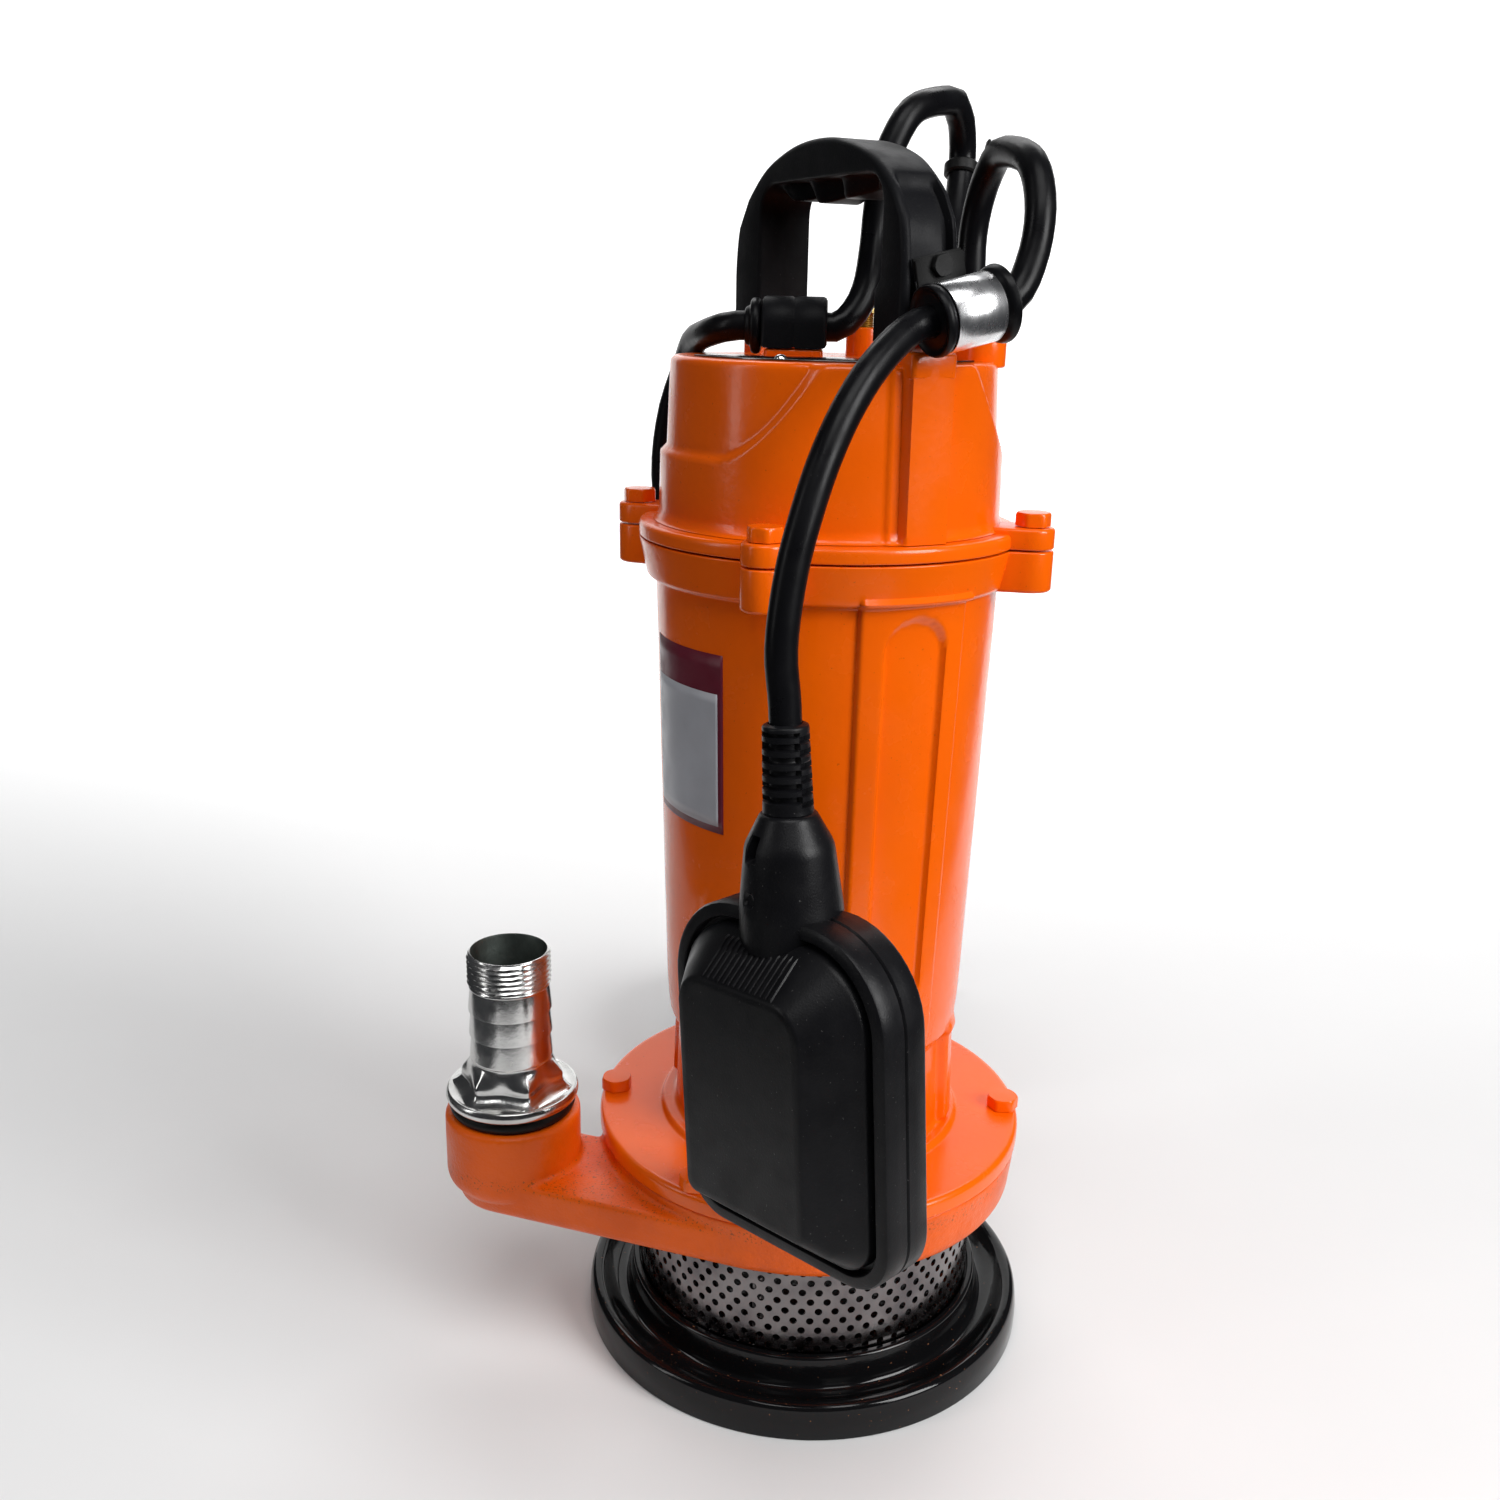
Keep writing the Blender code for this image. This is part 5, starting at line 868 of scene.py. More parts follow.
def build_fitting():
    """Pressed hose tail: round flange, hexagon that rolls into the barbed tube, thread at the mouth."""
    steps, hex_rows, thread_rows, barbs = 180, 34, 96, 3
    low, flange = FITTING_LOW, FITTING_LOW + 0.0042
    hex_low, hex_top, mouth = flange - 0.0003, flange + 0.0112, flange + 0.050
    thread = mouth - 0.0125
    turns = full_turn(steps)
    rings = revolve(fillet([
        (TUBE_BORE, low), (0.0222, low, 0.0016), (0.0229, low + 0.0022, 0.0016),
        (0.0220, flange, 0.0014), (0.0204, flange - 0.0004),
    ], 6), steps)
    for rise in np.linspace(0, 1, hex_rows):
        rings.append(ring_at(hex_ring(turns, rise), turns, hex_low + (hex_top - hex_low) * rise))
    barb = (thread - hex_top) / barbs
    for k in range(barbs):
        start = hex_top + k * barb
        rings += revolve([
            (TUBE + 0.0002, start + 0.0003), (TUBE + 0.0002, start + 0.0009),
            (TUBE - 0.0004, start + barb - 0.0008), (TUBE - 0.0005, start + barb),
        ], steps)
    for climb in np.linspace(0.0002, mouth - thread - 0.0004, thread_rows):
        rings.append(ring_at(thread_ring(turns, climb), turns, thread + climb))
    rings += revolve([
        (TUBE - 0.0006, mouth), (TUBE_BORE + 0.0004, mouth + 0.0001), (TUBE_BORE, mouth - 0.0005),
        (TUBE_BORE, low),
    ], steps)
    place = at(*OUTLET, 0)
    tail = make("hose_tail", skin(rings, *OPEN), BRIGHT, place=place, sharp=40, node="hose_fitting")
    inside = TUBE_BORE + 0.0002
    repaint(tail, BORE_LOOK, lambda p: math.hypot(p.x - OUTLET[0], p.y - OUTLET[1]) < inside)
    under, over = 0.0903, 0.0943
    seal = fillet([
        (TUBE_BORE, under), (0.0208, under, 0.0006), (0.0218, 0.0924, 0.0012), (0.0208, over, 0.0006),
        (TUBE_BORE, over),
    ])
    turned_part("fitting_seal", seal, GASKET, 72, place=place, node="fitting_gasket")


# Motor casing and cover
PANELS = (DIAGONAL, DIAGONAL + math.pi)
CASING_FOOT, CASING_RADIUS = NECK_TOP + 0.0125, (0.0513, 0.0556)
SKIRT_LOW = 0.3144


def casing_shape(turns, ring, height):
    """Ribs on the neck, raised panels on the drum and a long sunk field in each panel."""
    ring = ring.copy()
    if DISC_TOP < height < NECK_TOP + 0.014:
        fade = between(DISC_TOP + 0.0015, DISC_TOP + 0.004, NECK_TOP - 0.002, NECK_TOP + 0.008, height)
        for k in range(4):
            across = np.abs(apart(turns, k * QUARTER)) * ring
            ring += 0.0036 * fade * (1 - smooth(0.0028, 0.0054, across))
    if NECK_TOP - 0.004 < height < FLANGE_LOW + 0.002:
        for centre in PANELS:
            across = np.abs(apart(turns, centre)) * 0.0535
            fade = float(smooth(NECK_TOP, NECK_TOP + 0.012, height))
            ring += 0.0017 * fade * (1 - smooth(0.0172, 0.0182, across))
            reach = max(0.150 - height, height - 0.2600, 0.0)
            gap = np.sqrt(across ** 2 + reach ** 2) - 0.0104
            ring -= 0.0021 * (1 - smooth(-0.0010, 0.0003, gap))
    return ring


def lug(name, k, low, top, low_edge, edge):
    """Ear for a cover bolt, on the casing or on the cover."""
    side = [(0.052, 0.0078), (0.0590, 0.0080), (0.0625, 0.0074)]
    points = [(x, -y) for x, y in side]
    for x, y in arc(0, 0, 1.0, -90, 180, 12):
        points.append((EAR_CIRCLE - 0.0008 + 0.0078 * x, 0.0072 * y))
    points += side[::-1]
    block(name, points, low, top, edge, ENAMEL, low_edge, place=turned(k * QUARTER), sharp=50)


def build_casing():
    disc, (foot, head) = 0.0755, CASING_RADIUS
    line = fillet([
        (0.044, DISC_LOW), (disc, DISC_LOW, 0.0006), (disc, DISC_TOP, 0.0022), (0.0535, DISC_TOP, 0.0008),
        (0.0526, DISC_TOP + 0.0019, 0.0010), (0.0480, DISC_TOP + 0.0020, 0.0022), (0.0470, NECK_TOP, 0.0035),
        (0.0503, NECK_TOP + 0.0030, 0.004), (foot, CASING_FOOT, 0.006), (head, FLANGE_LOW, 0.0016),
        (0.0585, FLANGE_LOW + 0.0003, 0.0012), (0.0611, FLANGE_TOP, 0.0006), (0.0500, FLANGE_TOP),
    ], 6)
    turned_part("casing_cast", dense(line, 0.0016), ENAMEL, 480, casing_shape, OPEN, sharp=50,
                node="motor_casing")
    for k in range(4):
        lug("casing_lug_%d" % (k + 1), k, FLANGE_LOW - 0.0002, FLANGE_TOP, 0.0012, 0.0006)


def skirt_height(turn):
    """Upper edge of the thick lower skin of the cover, by the angle from the pillar."""
    start = np.where(turn < 0, math.radians(30.5), math.radians(20.0))
    share = np.clip((np.abs(turn) - start) / math.radians(38), 0, 1)
    return SKIRT_LOW + (COVER_TOP + 0.0006 - SKIRT_LOW) * (1 - share) ** 1.7


def cover_shape(turns, ring, height):
    """Swept ledge of the thick lower skin, and the pillar with the step beside it."""
    ring = ring.copy()
    if height < COVER_LOW + 0.0050:
        return ring
    off = apart(turns, DIAGONAL)
    edge = skirt_height(off)
    slope = (skirt_height(off + 0.005) - skirt_height(off - 0.005)) / (0.01 * 0.0545)
    clear = (edge - height) / np.sqrt(1 + slope ** 2)
    wide = 0.0010 + 0.0034 * smooth(SKIRT_LOW, COVER_TOP, edge)
    inside = np.clip(1 + clear / wide, 0, 1)
    rise = (height - COVER_LOW) / (COVER_TOP - COVER_LOW)
    thick = 0.0014 + 0.0011 * rise
    shown = max(float(ring[0]) - 0.040, 0.0) / 0.012
    ring += thick * inside * min(1.0, shown)
    if ring[0] > 0.049:
        across = np.abs(off) * 0.0565
        near = np.abs(off) < math.radians(75)
        post = 0.0588 - 0.0004 * rise
        weight = 1 - smooth(0.0070, 0.0080, across)
        ring = ring + np.maximum(post - ring, 0) * weight * near
        side = 1 - smooth(0.0110, 0.0124, across)
        ring = np.where(weight < 0.02, ring + 0.0009 * side * (off < 0), ring)
    return ring


def build_cover():
    rim, step = 0.0611, COVER_LOW + 0.0047
    line = dense(fillet([
        (0.0495, COVER_LOW), (rim, COVER_LOW, 0.0006), (rim, step, 0.0018), (0.0545, step + 0.0002, 0.0022),
        (0.0532, COVER_LOW + 0.0075, 0.002), (0.0512, COVER_TOP, 0.0024), (0.0450, COVER_TOP, 0.001),
        (0.0200, COVER_TOP), (0.0006, COVER_TOP),
    ], 6), 0.0011)
    wall, last = 0.0485, len(line) - 1
    line = [p for i, p in enumerate(line) if p[0] > wall or i % 6 == 0 or i == last]
    turned_part("cover_cast", line, ENAMEL, 480, cover_shape, TOPPED, sharp=60, node="top_cover")
    for k in range(4):
        lug("cover_lug_%d" % (k + 1), k, COVER_LOW, EAR_TOP, 0.0005, 0.0012)
    build_pads()


def build_pads():
    """Raised pads on the roof for the handle, pillar, saddle, gland and oil plug."""
    sunk, diagonal = COVER_TOP - 0.002, turned(DIAGONAL)
    for number, middle in ((1, 0.0421), (2, -0.0421)):
        pad = rounded_rect(middle - 0.0038, -HANDLE_DEEP, middle + 0.0038, HANDLE_DEEP, 0.0012)
        block("handle_pad_%d" % number, pad, sunk, COVER_TOP + 0.0057, 0.0008, ENAMEL, place=diagonal)
    crown = rounded_rect(0.0470, -0.0076, 0.0584, 0.0076, 0.0016)
    block("pillar_crown", crown, COVER_TOP - 0.004, COVER_TOP + 0.0033, 0.0010, ENAMEL, place=diagonal)
    pad = rounded_rect(-0.0090, -0.0090, 0.0090, 0.0090, 0.0015)
    block("saddle_pad", pad, sunk, COVER_TOP + 0.0025, 0.0007, ENAMEL, place=saddle_place(0))
    pad = stadium(GLAND_BOLT, 0.0073, 12)
    block("gland_pad", pad, sunk, GLAND_PAD_TOP, 0.0008, ENAMEL, place=gland_place(0))
    block("oil_post", outline_circle(0.006, 40, *OIL_POST), sunk, COVER_TOP + 0.009, 0.0008, ENAMEL)


# Small metal
def build_bolts():
    across, head = 0.010, 0.0042
    for k in range(4):
        place = turned(k * QUARTER) @ at(EAR_CIRCLE, 0, EAR_TOP + GAP) @ turned(0.3 + 0.4 * k)
        bolt_head("cover_screw_%d" % (k + 1), across, head, ENAMEL, place, "cover_bolt_%d" % (k + 1))
    for k in range(6):
        spot = turned(math.radians(15 + 60 * k)) @ at(FLANGE_CIRCLE, 0, DISC_TOP + GAP)
        place = spot @ turned(0.5 * k)
        bolt_head("flange_screw_%d" % (k + 1), across, head, ENAMEL, place, "flange_bolt_%d" % (k + 1))
    for number, side in ((1, 1), (2, -1)):
        place = gland_place(PLATE_TOP + GAP) @ at(side * GLAND_BOLT, 0, 0) @ turned(0.4 * side)
        bolt_head("gland_screw_%d" % number, 0.007, 0.0030, ZINC, place, "gland_bolt_%d" % number, 0.0006)


def build_oil_plug():
    """Yellow plug that stands half out of its post, with its thread in sight."""
    place = at(*OIL_POST, COVER_TOP + 0.0135)
    root, crest, pitch, foot = 0.0026, 0.0031, 0.0006, -0.0055
    bolt_head("oil_screw", 0.010, 0.0046, YELLOW, place @ turned(0.2), "oil_plug")
    shank = [(0.0005, foot - 0.0001)]
    for k in range(9):
        shank += [(root, foot + pitch * k), (crest, foot + pitch * (k + 0.5))]
    shank += [(root, 0.0002), (0.0005, 0.0002)]
    turned_part("oil_screw_thread", shank, YELLOW, 32, place=place, sharp=20)


def build_gland():
    """Plate and bushing that the cords come out of, with a collar round each cord."""
    place = gland_place(0)
    plate, bushing = stadium(GLAND_BOLT, 0.0072, 14), stadium(GLAND_HOLE, 0.0066, 14)
    block("gland_cover", plate, BUSHING_TOP + GAP, PLATE_TOP, 0.0005, ZINC, place=place, node="gland_plate")
    block("gland_rubber", bushing, GLAND_PAD_TOP + GAP, BUSHING_TOP, 0.0008, GASKET, place=place,
          node="gland_bushing")
    low, top = PLATE_TOP - 0.001, PLATE_TOP + 0.0052
    collar = [
        (CORD_HOLE, low), (0.0064, low), (0.0062, PLATE_TOP + 0.0022), (0.0052, top - 0.0004),
        (CORD_HOLE, top),
    ]
    for number, side in ((2, -1), (1, 1)):
        hole = gland_hole(side, 0)
        turned_part("gland_collar_%d" % number, collar, GASKET, 40, place=at(hole.x, hole.y, 0))


# Handle
HANDLE_HALF, HANDLE_RISE, HANDLE_DEEP = 0.0535, 0.0575, 0.00935
HANDLE_EDGE, HANDLE_LIP = 0.0020, 0.0010
OPENING_RIGHT, OPENING_LEFT, OPENING_CORNER = 0.0412, 0.0352, 0.0095
OPENING_TOP = HANDLE_FOOT + 0.0460
LEG_FLARE, FLARE_TOP = 0.0030, HANDLE_FOOT + 0.0175
ARCH = (
    (1.0, 0.0), (1.0, 0.18), (1.0, 0.36), (0.97, 0.55), (0.91, 0.66), (0.81, 0.76), (0.6, 0.89), (0.3, 0.975),
    (0.0, 1.0),
)


def handle_arch():
    """Outer line of the handle, from one foot to the other."""
    right = [Vector((HANDLE_HALF * s, HANDLE_FOOT + HANDLE_RISE * h, 0)) for s, h in ARCH]
    knots = right + [Vector((-k.x, k.y, 0)) for k in right[-2::-1]]
    return spline(knots[:1] + knots + knots[-1:], 40)


def handle_opening():
    """Edge of the opening from the foot of one leg to the other, with the wide foot of the right leg."""
    right, left = OPENING_RIGHT - OPENING_CORNER, OPENING_CORNER - OPENING_LEFT
    corner_low = OPENING_TOP - OPENING_CORNER
    line = [(OPENING_RIGHT - LEG_FLARE, HANDLE_FOOT + 0.0035 * k) for k in range(5)]
    line += [(OPENING_RIGHT - 0.4 * LEG_FLARE, FLARE_TOP - 0.0017), (OPENING_RIGHT, FLARE_TOP)]
    line += [(OPENING_RIGHT, FLARE_TOP + 0.0032 * k) for k in range(1, 6)]
    line += arc(right, corner_low, OPENING_CORNER, 0, 90, 8)
    line += [(right + (left - right) * i / 48, OPENING_TOP) for i in range(1, 48)]
    line += arc(left, corner_low, OPENING_CORNER, 90, 90, 8)
    line += [(-OPENING_LEFT, corner_low - (corner_low - HANDLE_FOOT) * i / 12) for i in range(1, 13)]
    return line


def arch_point(arch, x, z):
    """Point of the outer arch that faces a point of the opening."""
    hub = OPENING_TOP - 0.030
    if z < OPENING_TOP - OPENING_CORNER:
        side = [p for p in arch if p.x * x > 0]
        return min(side, key=lambda p: abs(p.y - z))
    return min(arch, key=lambda p: abs(math.atan2(p.x, p.y - hub) - math.atan2(x, z - hub)))


def handle_depths():
    """Stations across the handle, close together at its rounded edges."""
    flat = HANDLE_DEEP - HANDLE_EDGE
    bends = [flat + HANDLE_EDGE * math.sin(QUARTER * i / 6) for i in range(6, -1, -1)]
    middle = np.linspace(flat, -flat, 19)[1:-1]
    return [-d for d in bends] + [-d for d in middle] + bends[::-1]


def rounding(depth, edge):
    over = max(abs(depth) - (HANDLE_DEEP - edge), 0.0)
    return edge - math.sqrt(max(edge * edge - over * over, 0.0))


def outer_drop(depth, leg):
    """Depth of the outer face under the arch: rounded edges, and the long recess of the legs."""
    return rounding(depth, HANDLE_EDGE) + 0.0032 * leg * between(-0.0068, -0.0052, 0.0062, 0.0076, depth)


def inner_lift(depth, x, bar):
    """Height of the inner face: rounded lips, finger scoops under the bar, a parting line on the legs."""
    lobe = 0.0203
    wave = 0.5 - 0.5 * math.cos(2 * math.pi * (x + OPENING_LEFT) / lobe)
    start = -HANDLE_DEEP + 0.0016 + 0.0062 * (1 - wave)
    scoop = 0.0066 * bar * float(smooth(start, start + 0.0034, depth)) * (0.72 + 0.28 * wave)
    seam = 0.00016 * float(1 - smooth(0.0003, 0.0007, abs(depth - 0.0006))) * (1 - bar)
    return rounding(depth, HANDLE_LIP) - scoop - seam


def build_handle():
    arch, depths = handle_arch(), handle_depths()
    rings = []
    for x, z in handle_opening():
        outer = arch_point(arch, x, z)
        across = Vector((outer.x - x, outer.y - z))
        thick, across = across.length, across.normalized()
        leg = between(-0.05, 0.02, 0.74, 0.80, (outer.y - HANDLE_FOOT) / HANDLE_RISE)
        ends = (0.004 - OPENING_LEFT, 0.010 - OPENING_LEFT, OPENING_RIGHT - 0.010, OPENING_RIGHT - 0.004)
        bar = between(*ends, x) * (z > OPENING_TOP - 0.002)
        ring = [(depth, thick - outer_drop(depth, leg)) for depth in depths]
        ring += [(depth, inner_lift(depth, x, bar)) for depth in depths[::-1]]
        rings.append([(x + across.x * t, depth, max(z + across.y * t, HANDLE_FOOT)) for depth, t in ring])
    make("handle_grip", skin(rings), HANDLE_BLACK, place=turned(DIAGONAL), sharp=42, node="carry_handle")


# Clamp and saddle
def build_strap():
    """Chrome band round the sleeve; its tab against the handle leg is painted black, as painted shade."""
    place, back = clamp_place(), clamp_place().inverted()
    face, sheet, radius, half, tab = -0.0107, 0.001, 0.0092, 0.008, -0.0098
    line = [(face + 0.5 * sheet, -0.016 + 0.002 * k) for k in range(9)]
    line += arc(0, 0, radius, 168, -330, 48)
    line += [(face + 1.5 * sheet, -0.0050), (face + 1.5 * sheet, -0.0155)]
    path = np.array(line)
    run = np.gradient(path, axis=0)
    run /= np.linalg.norm(run, axis=1)[:, None]
    normal = np.column_stack((-run[:, 1], run[:, 0]))
    soft = half - 0.0003
    section = (
        (0.30, -half), (0.5, -soft), (0.5, soft), (0.30, half),
        (-0.30, half), (-0.5, soft), (-0.5, -soft), (-0.30, -half),
    )
    rings = [raised(path + normal * side * sheet * 0.96, z) for side, z in section]
    strap = make("clamp_strap", hoop(rings, wrap=False), CHROME, place=place, sharp=40, node="clamp_band")
    # Painted shade: the tab lies against the handle leg and takes the black rubber look instead of chrome.
    repaint(strap, GASKET.look, lambda p: (back @ p).y < tab)


def build_clamp():
    build_strap()
    place = clamp_place()
    half, wide = 0.0083, 0.0098
    line = fillet([
        (CORD_HOLE, -0.0112), (0.0060, -0.0110, 0.0008), (0.0080, -0.0108, 0.0010),
        (wide - 0.0002, -0.0120, 0.0008), (wide + 0.0004, -0.0100, 0.0009), (0.0092, -half, 0.0006),
        (0.0084, -half + 0.0004), (0.0084, half - 0.0004), (0.0090, half, 0.0006),
        (wide + 0.0006, half + 0.0012, 0.0008), (wide + 0.0012, half + 0.0034, 0.0005),
        (0.0080, half + 0.0026, 0.0010), (0.0060, half + 0.0030, 0.0008), (CORD_HOLE, half + 0.0032),
    ])
    turned_part("clamp_grommet", line, RUBBER, 72, place=place, sharp=50, node="clamp_sleeve")
    seat = place @ at(-0.0110, -0.0128, 0) @ turned(QUARTER, "Y") @ at(0, 0, 0.0024)
    bolt_head("clamp_screw_head", 0.006, 0.0018, DARK_STEEL, seat, "clamp_screw")


def build_saddle():
    """Arched saddle with a groove round its middle, and the rubber ring at its mouth."""
    place = saddle_place(SADDLE_AXIS)
    outer, foot, half = 0.0090, -0.0063, 0.0100
    outline = np.array([(outer + 0.0004, foot)] + arc(0, 0, outer, 0, 180, 24) + [(-outer - 0.0004, foot)])
    stations = (
        (-half, 0.0012), (-half + 0.0004, 0.0004), (-half + 0.0012, 0.0), (-0.0008, 0.0), (-0.0002, 0.0004),
        (0.0002, 0.0004), (0.0008, 0.0), (half - 0.0012, 0.0), (half - 0.0004, 0.0004), (half, 0.0012),
    )
    rings = []
    for x, inset in stations:
        flat = shrink(outline, inset)
        flat[:, 1] = np.maximum(flat[:, 1], foot)
        rings.append(np.column_stack((np.full(len(flat), x), flat)))
    make("saddle_body", skin(rings), HANDLE_BLACK, place=place, sharp=45, node="cord_saddle")
    start = half + GAP
    line = fillet([
        (CORD_HOLE, start - 0.002), (0.0060, start - 0.002), (0.0062, start, 0.0003),
        (0.0080, start + 0.0002, 0.0012), (0.0086, start + 0.0017, 0.0012), (0.0080, start + 0.0032, 0.0012),
        (0.0062, start + 0.0034, 0.0008), (0.0056, start + 0.0048, 0.0006), (CORD_HOLE, start + 0.0052),
    ])
    turned_part("saddle_ring", line, RUBBER, 64, place=place @ turned(QUARTER, "Y"), node="saddle_sleeve")


# Float
FLOAT_WIDTH, FLOAT_HEIGHT, FLOAT_HALF, FLOAT_RIM = 0.082, 0.1024, 0.0228, 0.0087
FLOAT_TOP_CORNER, FLOAT_LOW_CORNER = 0.027, 0.016
SLOPE_IN, SLOPE_OUT = (0.0066, FLOAT_RIM + 0.0010), (0.0176, FLOAT_HALF - 0.0003)


def float_outline(inset):
    """Outline of the float, with its straight runs split alike for every inset."""
    half, top, low = FLOAT_WIDTH / 2 - inset, -inset, inset - FLOAT_HEIGHT
    side_parts, end_parts = 18, 12
    arcs = []
    for x, y, corner, start, parts in (
        (half, low, FLOAT_LOW_CORNER, -90, side_parts), (half, top, FLOAT_TOP_CORNER, 0, end_parts),
        (-half, top, FLOAT_TOP_CORNER, 90, side_parts), (-half, low, FLOAT_LOW_CORNER, 180, end_parts),
    ):
        radius = max(corner - inset, 0.22 * corner)
        cx = x - math.copysign(radius, x)
        cy = y + radius if y == low else y - radius
        arcs.append((np.array(arc(cx, cy, radius, start, 90, 12)), parts))
    points = []
    for (bend, parts), (following, _) in zip(arcs, arcs[1:] + arcs[:1]):
        run = following[0] - bend[-1]
        points += list(bend) + [bend[-1] + run * k / parts for k in range(1, parts)]
    return np.array(points)


def on_slope(share):
    """Inset and height on the sloping face of a shell."""
    return tuple(a + (b - a) * share for a, b in zip(SLOPE_IN, SLOPE_OUT))


def build_float():
    """Two shells that meet at a flat rim with a groove behind it, each with a sloping face."""
    place, rim, half = float_place(), FLOAT_RIM, FLOAT_HALF
    levels = [
        (0.0006, 0.00015), (0.0, 0.0006), (0.0, 0.0030), (0.0, rim - 0.0016), (0.0005, rim - 0.0006),
        (0.0016, rim), (0.0040, rim), (0.0043, rim - 0.0004), (0.0045, rim - 0.0032), (0.0059, rim - 0.0032),
        (0.0062, rim + 0.0002),
    ]
    levels += [on_slope(k / 30) for k in range(31)]
    levels += [(0.0183, half), (0.0200, half), (0.0250, half), (0.0320, half)]
    rings = []
    for inset, height in levels:
        flat = float_outline(inset)
        rings.append(np.column_stack((flat[:, 0], np.full(len(flat), -height), flat[:, 1])))
    for side, turn in (("front", 0), ("rear", math.pi)):
        shape = skin(rings, *TOPPED)
        add_ribs(*shape)
        make("float_" + side, shape, FLOAT_BLACK, body="float", place=place @ turned(turn), sharp=32,
             node="float_" + side + "_shell")
    build_neck(place)
    build_relief(place)


def add_ribs(verts, faces):
    """Row of fine ribs that run up the top slope of a float shell."""
    count, pitch, half, high, sunk = 14, 0.00205, 0.00062, 0.00085, -0.0002
    for k in range(count):
        x = (k - (count - 1) / 2) * pitch
        start = len(verts)
        for inset, rise in ((0.0080, 0.0), (0.0088, high), (0.0166, high), (0.0174, 0.0)):
            height = on_slope((inset - SLOPE_IN[0]) / (SLOPE_OUT[0] - SLOPE_IN[0]))[1]
            for side, lift in ((-1.0, sunk), (-0.6, rise), (0.6, rise), (1.0, sunk)):
                verts.append((x + side * half, -(height + lift), -inset))
        for row in range(3):
            for i in range(3):
                a = start + 4 * row + i
                faces.append((a, a + 1, a + 5, a + 4))


def neck_shape(turns, ring, height):
    """Window in the upper part of the neck and a small ring mark below it."""
    ring = ring.copy()
    if 0.0148 < height < 0.0222:
        window = np.abs(apart(turns, math.radians(-103))) * 0.0125
        tall = between(0.0148, 0.0156, 0.0214, 0.0222, height)
        ring -= 0.0032 * tall * (1 - smooth(0.0019, 0.0025, window))
    if 0.0030 < height < 0.0062:
        notch = np.abs(apart(turns, math.radians(-101))) * 0.0138
        gap = np.sqrt(notch ** 2 + (height - 0.0046) ** 2)
        ring -= 0.0009 * (1 - smooth(0.0008, 0.0014, np.abs(gap - 0.0010)))
    return ring


def build_neck(place):
    top = 0.0276
    line = dense(fillet([
        (0.0060, -0.010), (0.0146, -0.010), (0.0145, 0.0005, 0.001), (0.0124, 0.0185, 0.0016),
        (0.0078, top - 0.0004, 0.0010), (0.0060, top), (CORD_RADIUS + GAP, top),
    ]), 0.0007)
    turned_part("float_collar", line, FLOAT_BLACK, 240, neck_shape, OPEN, body="float", place=place, sharp=40,
                node="float_neck")


def build_relief(place):
    """Strain relief with slots that alternate between its front and its sides."""
    low, top, pitch = 0.0276, 0.0520, 0.0036
    slots_low, slots_top, slot_deep, facing = low + 0.0022, top - 0.0018, 0.0018, math.radians(-75)
    line = dense(fillet([
        (0.0071, low), (0.0070, low + 0.001, 0.0004), (0.0064, top - 0.0006, 0.0006), (0.0050, top, 0.0004),
        (CORD_RADIUS + 0.0002, top),
    ], 4), 0.00028)

    def slots(turns, ring, height):
        if not slots_low < height < slots_top or ring[0] < 0.0058:
            return ring
        face = np.abs(np.cos(turns - facing))
        for offset, weight in ((0.0, smooth(0.42, 0.50, face)), (0.5, 1 - smooth(0.36, 0.44, face))):
            phase = ((height - slots_low) / pitch + offset) % 1.0
            ring = ring - slot_deep * between(0.30, 0.36, 0.80, 0.86, phase) * weight
        return ring

    turned_part("float_relief", line, FLOAT_BLACK, 120, slots, OPEN, body="float", place=place, sharp=40,
                node="float_strain_relief")


# Sticker, plate and ties
def casing_radius(height):
    foot, head = CASING_RADIUS
    return foot + (head - foot) * (height - CASING_FOOT) / (FLANGE_LOW - CASING_FOOT)


def curved_patch(name, first, last, low, high, lift, finish):
    """Thin sheet on the drum between two angles and two heights."""
    turns = np.radians(np.linspace(first, last, 36))
    rings = [ring_at(casing_radius(z) + lift, turns, z) for z in np.linspace(low, high, 14)]
    made = make(name, skin(rings, *OPEN, wrap=False), finish)
    thick = made.modifiers.new("thickness", "SOLIDIFY")
    thick.thickness = 0.00012
    thick.offset = -1


def build_labels():
    """Blank sticker on the drum, blank plate on the roof and its rivets."""
    curved_patch("blank_label_back", -149.0, -108.0, 0.1985, 0.2565, 0.00016, BORDER)
    curved_patch("blank_label_face", -149.0, -110.2, 0.2008, 0.2440, 0.00026, PAPER)
    lean, chord, radius, rivets = -74.5, 0.0185, 0.0462, 0.0418
    reach = math.degrees(math.acos(chord / radius))
    plate = arc(0, 0, radius, lean - reach, 2 * reach, 32)
    block("roof_plate", plate, COVER_TOP + 0.00005, COVER_TOP + 0.0006, 0.0002, STEEL)
    dome = [(0.0004, 0.0013), (0.0011, 0.0011), (0.0017, 0.0006), (0.0019, 0.0), (0.0004, 0.0)]
    for number, angle in enumerate((-96, -52), 1):
        turn = math.radians(angle)
        place = at(rivets * math.cos(turn), rivets * math.sin(turn), COVER_TOP + 0.0005)
        turned_part("plate_rivet_%d" % number, dome, BRIGHT, 24, place=place)


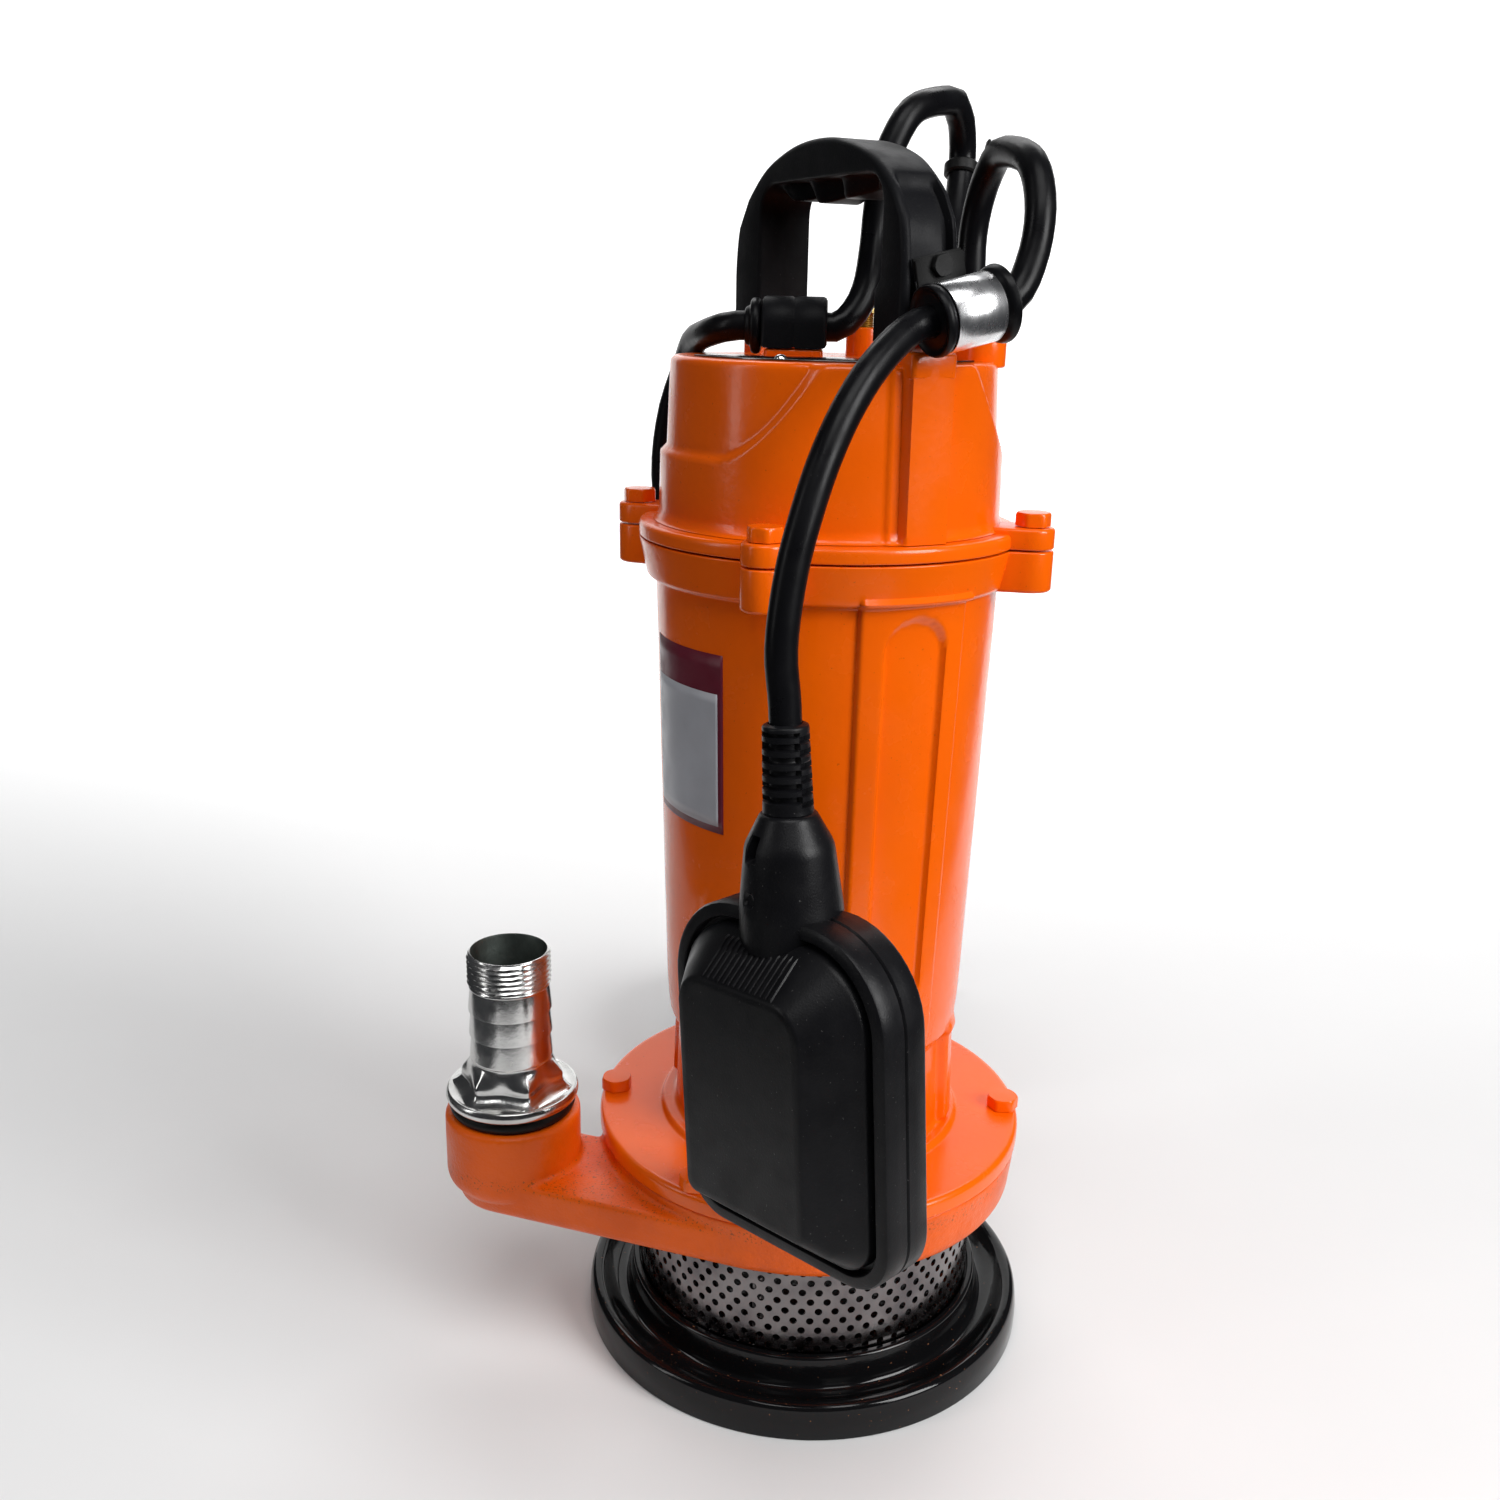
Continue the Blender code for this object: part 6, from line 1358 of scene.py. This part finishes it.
def cord_tie():
    """Band tie with its head and tail on the rising leg of the power cord."""
    spot = ROOF + Vector((0.0269, 0.0525, 0.0580))
    inner, outer, half, edge = CORD_HOLE, CORD_HOLE + 0.0012, 0.0021, 0.0006
    index = min(range(len(POWER)), key=lambda i: (POWER[i] - spot).length)
    run = (POWER[index + 1] - POWER[index - 1]).normalized()
    place = Matrix.Translation(POWER[index]) @ run.to_track_quat("Z", "Y").to_matrix().to_4x4()
    band = [
        (inner, -half), (outer - edge, -half), (outer, edge - half),
        (outer, half - edge), (outer - edge, half), (inner, half),
    ]
    facing = place @ turned(math.radians(205))
    head = rounded_rect(-0.0035, -0.0030, 0.0035, 0.0030, 0.0008)
    tail = rounded_rect(-0.0005, -0.0013, 0.0005, 0.0013, 0.0004)
    lean = facing @ at(0.0066, 0, 0) @ turned(math.radians(10), "Y")
    return [
        turned_part("tie_band", band, TIE_BLACK, 32, place=place),
        block("tie_head", head, 0.0048, 0.0092, 0.0008, TIE_BLACK, place=facing @ turned(QUARTER, "Y")),
        block("tie_tail", tail, 0.0008, 0.0125, 0.0003, TIE_BLACK, place=lean),
    ]


def coil_ties():
    """Two ties round the bundle of the coil, flat on the floor."""
    middle, height, floor = 0.0470, 0.0286, -0.0285
    loop = rounded_rect(-0.0155, -0.0284, 0.0155, 0.0288, 0.006, 6)
    section = (
        (0.0, -0.0021), (0.0008, -0.0024), (0.0014, -0.0018),
        (0.0014, 0.0018), (0.0008, 0.0024), (0.0, 0.0021),
    )
    rings = []
    for grow, y in section:
        flat = shrink(loop, -grow)
        rings.append(np.column_stack((flat[:, 0], np.full(len(flat), y), np.maximum(flat[:, 1], floor))))
    pieces = []
    for number, angle in enumerate((60, 240), 1):
        turn = math.radians(angle)
        spot = at(COIL_X + middle * math.cos(turn), COIL_Y + middle * math.sin(turn), height) @ turned(turn)
        pieces.append(make("coil_tie_%d" % number, hoop(rings), TIE_BLACK, place=spot))
    return pieces


def plug_shape(turns, ring, height):
    """Grooves on the plug's cord sleeve and two flats on its body."""
    if 0.003 < height < 0.026:
        return ring - 0.0009 * float(smooth(0.35, 0.45, (height / 0.0042) % 1.0))
    if 0.050 < height < 0.073:
        return ring * (1 - 0.05 * smooth(0.80, 0.95, np.abs(np.sin(turns))))
    return ring


def build_plug():
    body = 0.0183
    line = dense(fillet([
        (CORD_RADIUS + 0.0002, 0.0), (0.0062, 0.0, 0.0006), (0.0078, 0.028, 0.001), (0.0125, 0.0305, 0.0016),
        (0.0120, 0.038, 0.002), (0.0125, 0.044, 0.002), (body, 0.050, 0.003), (body, 0.0735, 0.0012),
        (0.0004, 0.0737),
    ]), 0.0012)
    lying = turned(QUARTER, "Y")
    pieces = [turned_part("mains_plug_body", line, HANDLE_BLACK, 96, plug_shape, TOPPED,
                          place=plug_place() @ lying, sharp=45, node="mains_plug")]
    pin = fillet([(0.0004, 0.072), (0.0024, 0.072), (0.0024, 0.0915, 0.0012), (0.0004, 0.0927)])
    for number, side in ((1, 1), (2, -1)):
        place = plug_place() @ at(0, side * 0.0095, 0) @ lying
        pieces.append(turned_part("plug_pin_%d" % number, pin, ZINC, 32, caps=CAPPED, place=place))
    return pieces


build_foot()
build_strainer()
build_volute()
build_fitting()
build_casing()
build_cover()
build_bolts()
build_oil_plug()
build_gland()
build_handle()
build_clamp()
build_saddle()
build_float()
build_labels()
on_cord = cord_tie() + coil_ties() + build_plug()


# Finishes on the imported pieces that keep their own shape
PACKED_FINISHES = (IRON, STEEL, COPPER, CERAMIC, ZINC, HANDLE_BLACK, GASKET, ENAMEL, CHROME, YELLOW, GLOSS)
PACKED_LOOKS = {finish.slot: finish.look for finish in PACKED_FINISHES}
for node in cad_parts.values():
    for place in node.material_slots:
        base = place.material.name.split(".")[0]
        place.material = PACKED_LOOKS.get(base, IRON.look)


# Studio
def build_floor():
    """White sheet that curves up behind the pump and narrows towards the viewer."""
    bend, back, top = 0.9, 1.8, 1.6
    line = [(-0.40, 0.0), (-0.1, 0.0), (bend, 0.0)]
    line += arc(bend, bend, bend, -90, 90, 12)[1:]
    line.append((back, top))
    verts, faces = [], []
    for y, z in line:
        wide = 0.34 + 0.50 * max(y, -0.12)
        verts += [(-wide, y, z), (wide, y, z)]
    for k in range(len(line) - 1):
        faces.append((2 * k, 2 * k + 1, 2 * k + 3, 2 * k + 2))
    mesh = new_mesh("floor", verts, faces)
    mesh.shade_smooth()
    look = Look("floor_paper").set(Emission_Color=(1.0, 1.0, 1.0))
    look.to("Emission_Strength", look.ramp(look.axis("Y"), 0.0, 1.2, 0.0, 0.78))
    look.to("Base_Color", look.mix(look.noise(6, 3), (0.78, 0.78, 0.78), (0.82, 0.82, 0.82)))
    look.to("Roughness", look.ramp(look.noise(40, 3), 0.3, 0.7, 0.85, 0.95))
    mesh.materials.append(look.made)
    floor = link("floor", mesh)
    floor.matrix_world = turned(CAMERA_HEADING - QUARTER)


def build_world():
    world = bpy.data.worlds.new("studio")
    world.use_nodes = True
    sky = world.node_tree.nodes["Background"].inputs
    sky["Color"].default_value = (0.9, 0.93, 1.0, 1.0)
    sky["Strength"].default_value = 0.045
    bpy.context.scene.world = world


def build_lamps():
    target = Vector((0.0, -0.02, 0.2))
    for name, where, size, power in (
        ("key", (1.40, -0.45, 0.95), (0.7, 1.0), 27.0),
        ("strip", (-1.15, -0.90, 0.80), (0.22, 1.2), 3.2),
        ("top", (0.25, -0.60, 1.45), (0.9, 0.6), 8.0),
        ("back", (-0.3, 1.1, 1.6), (1.6, 0.5), 10.0),
    ):
        lamp = bpy.data.lights.new(name, "AREA")
        lamp.shape = "RECTANGLE"
        lamp.size, lamp.size_y = size
        lamp.energy = power
        made = link(name, lamp)
        made.location = where
        made.rotation_euler = (target - Vector(where)).to_track_quat("-Z", "Y").to_euler()


bpy.context.scene.view_settings.view_transform = "Standard"
bpy.context.scene.view_settings.look = "None"
build_floor()
build_world()
build_lamps()
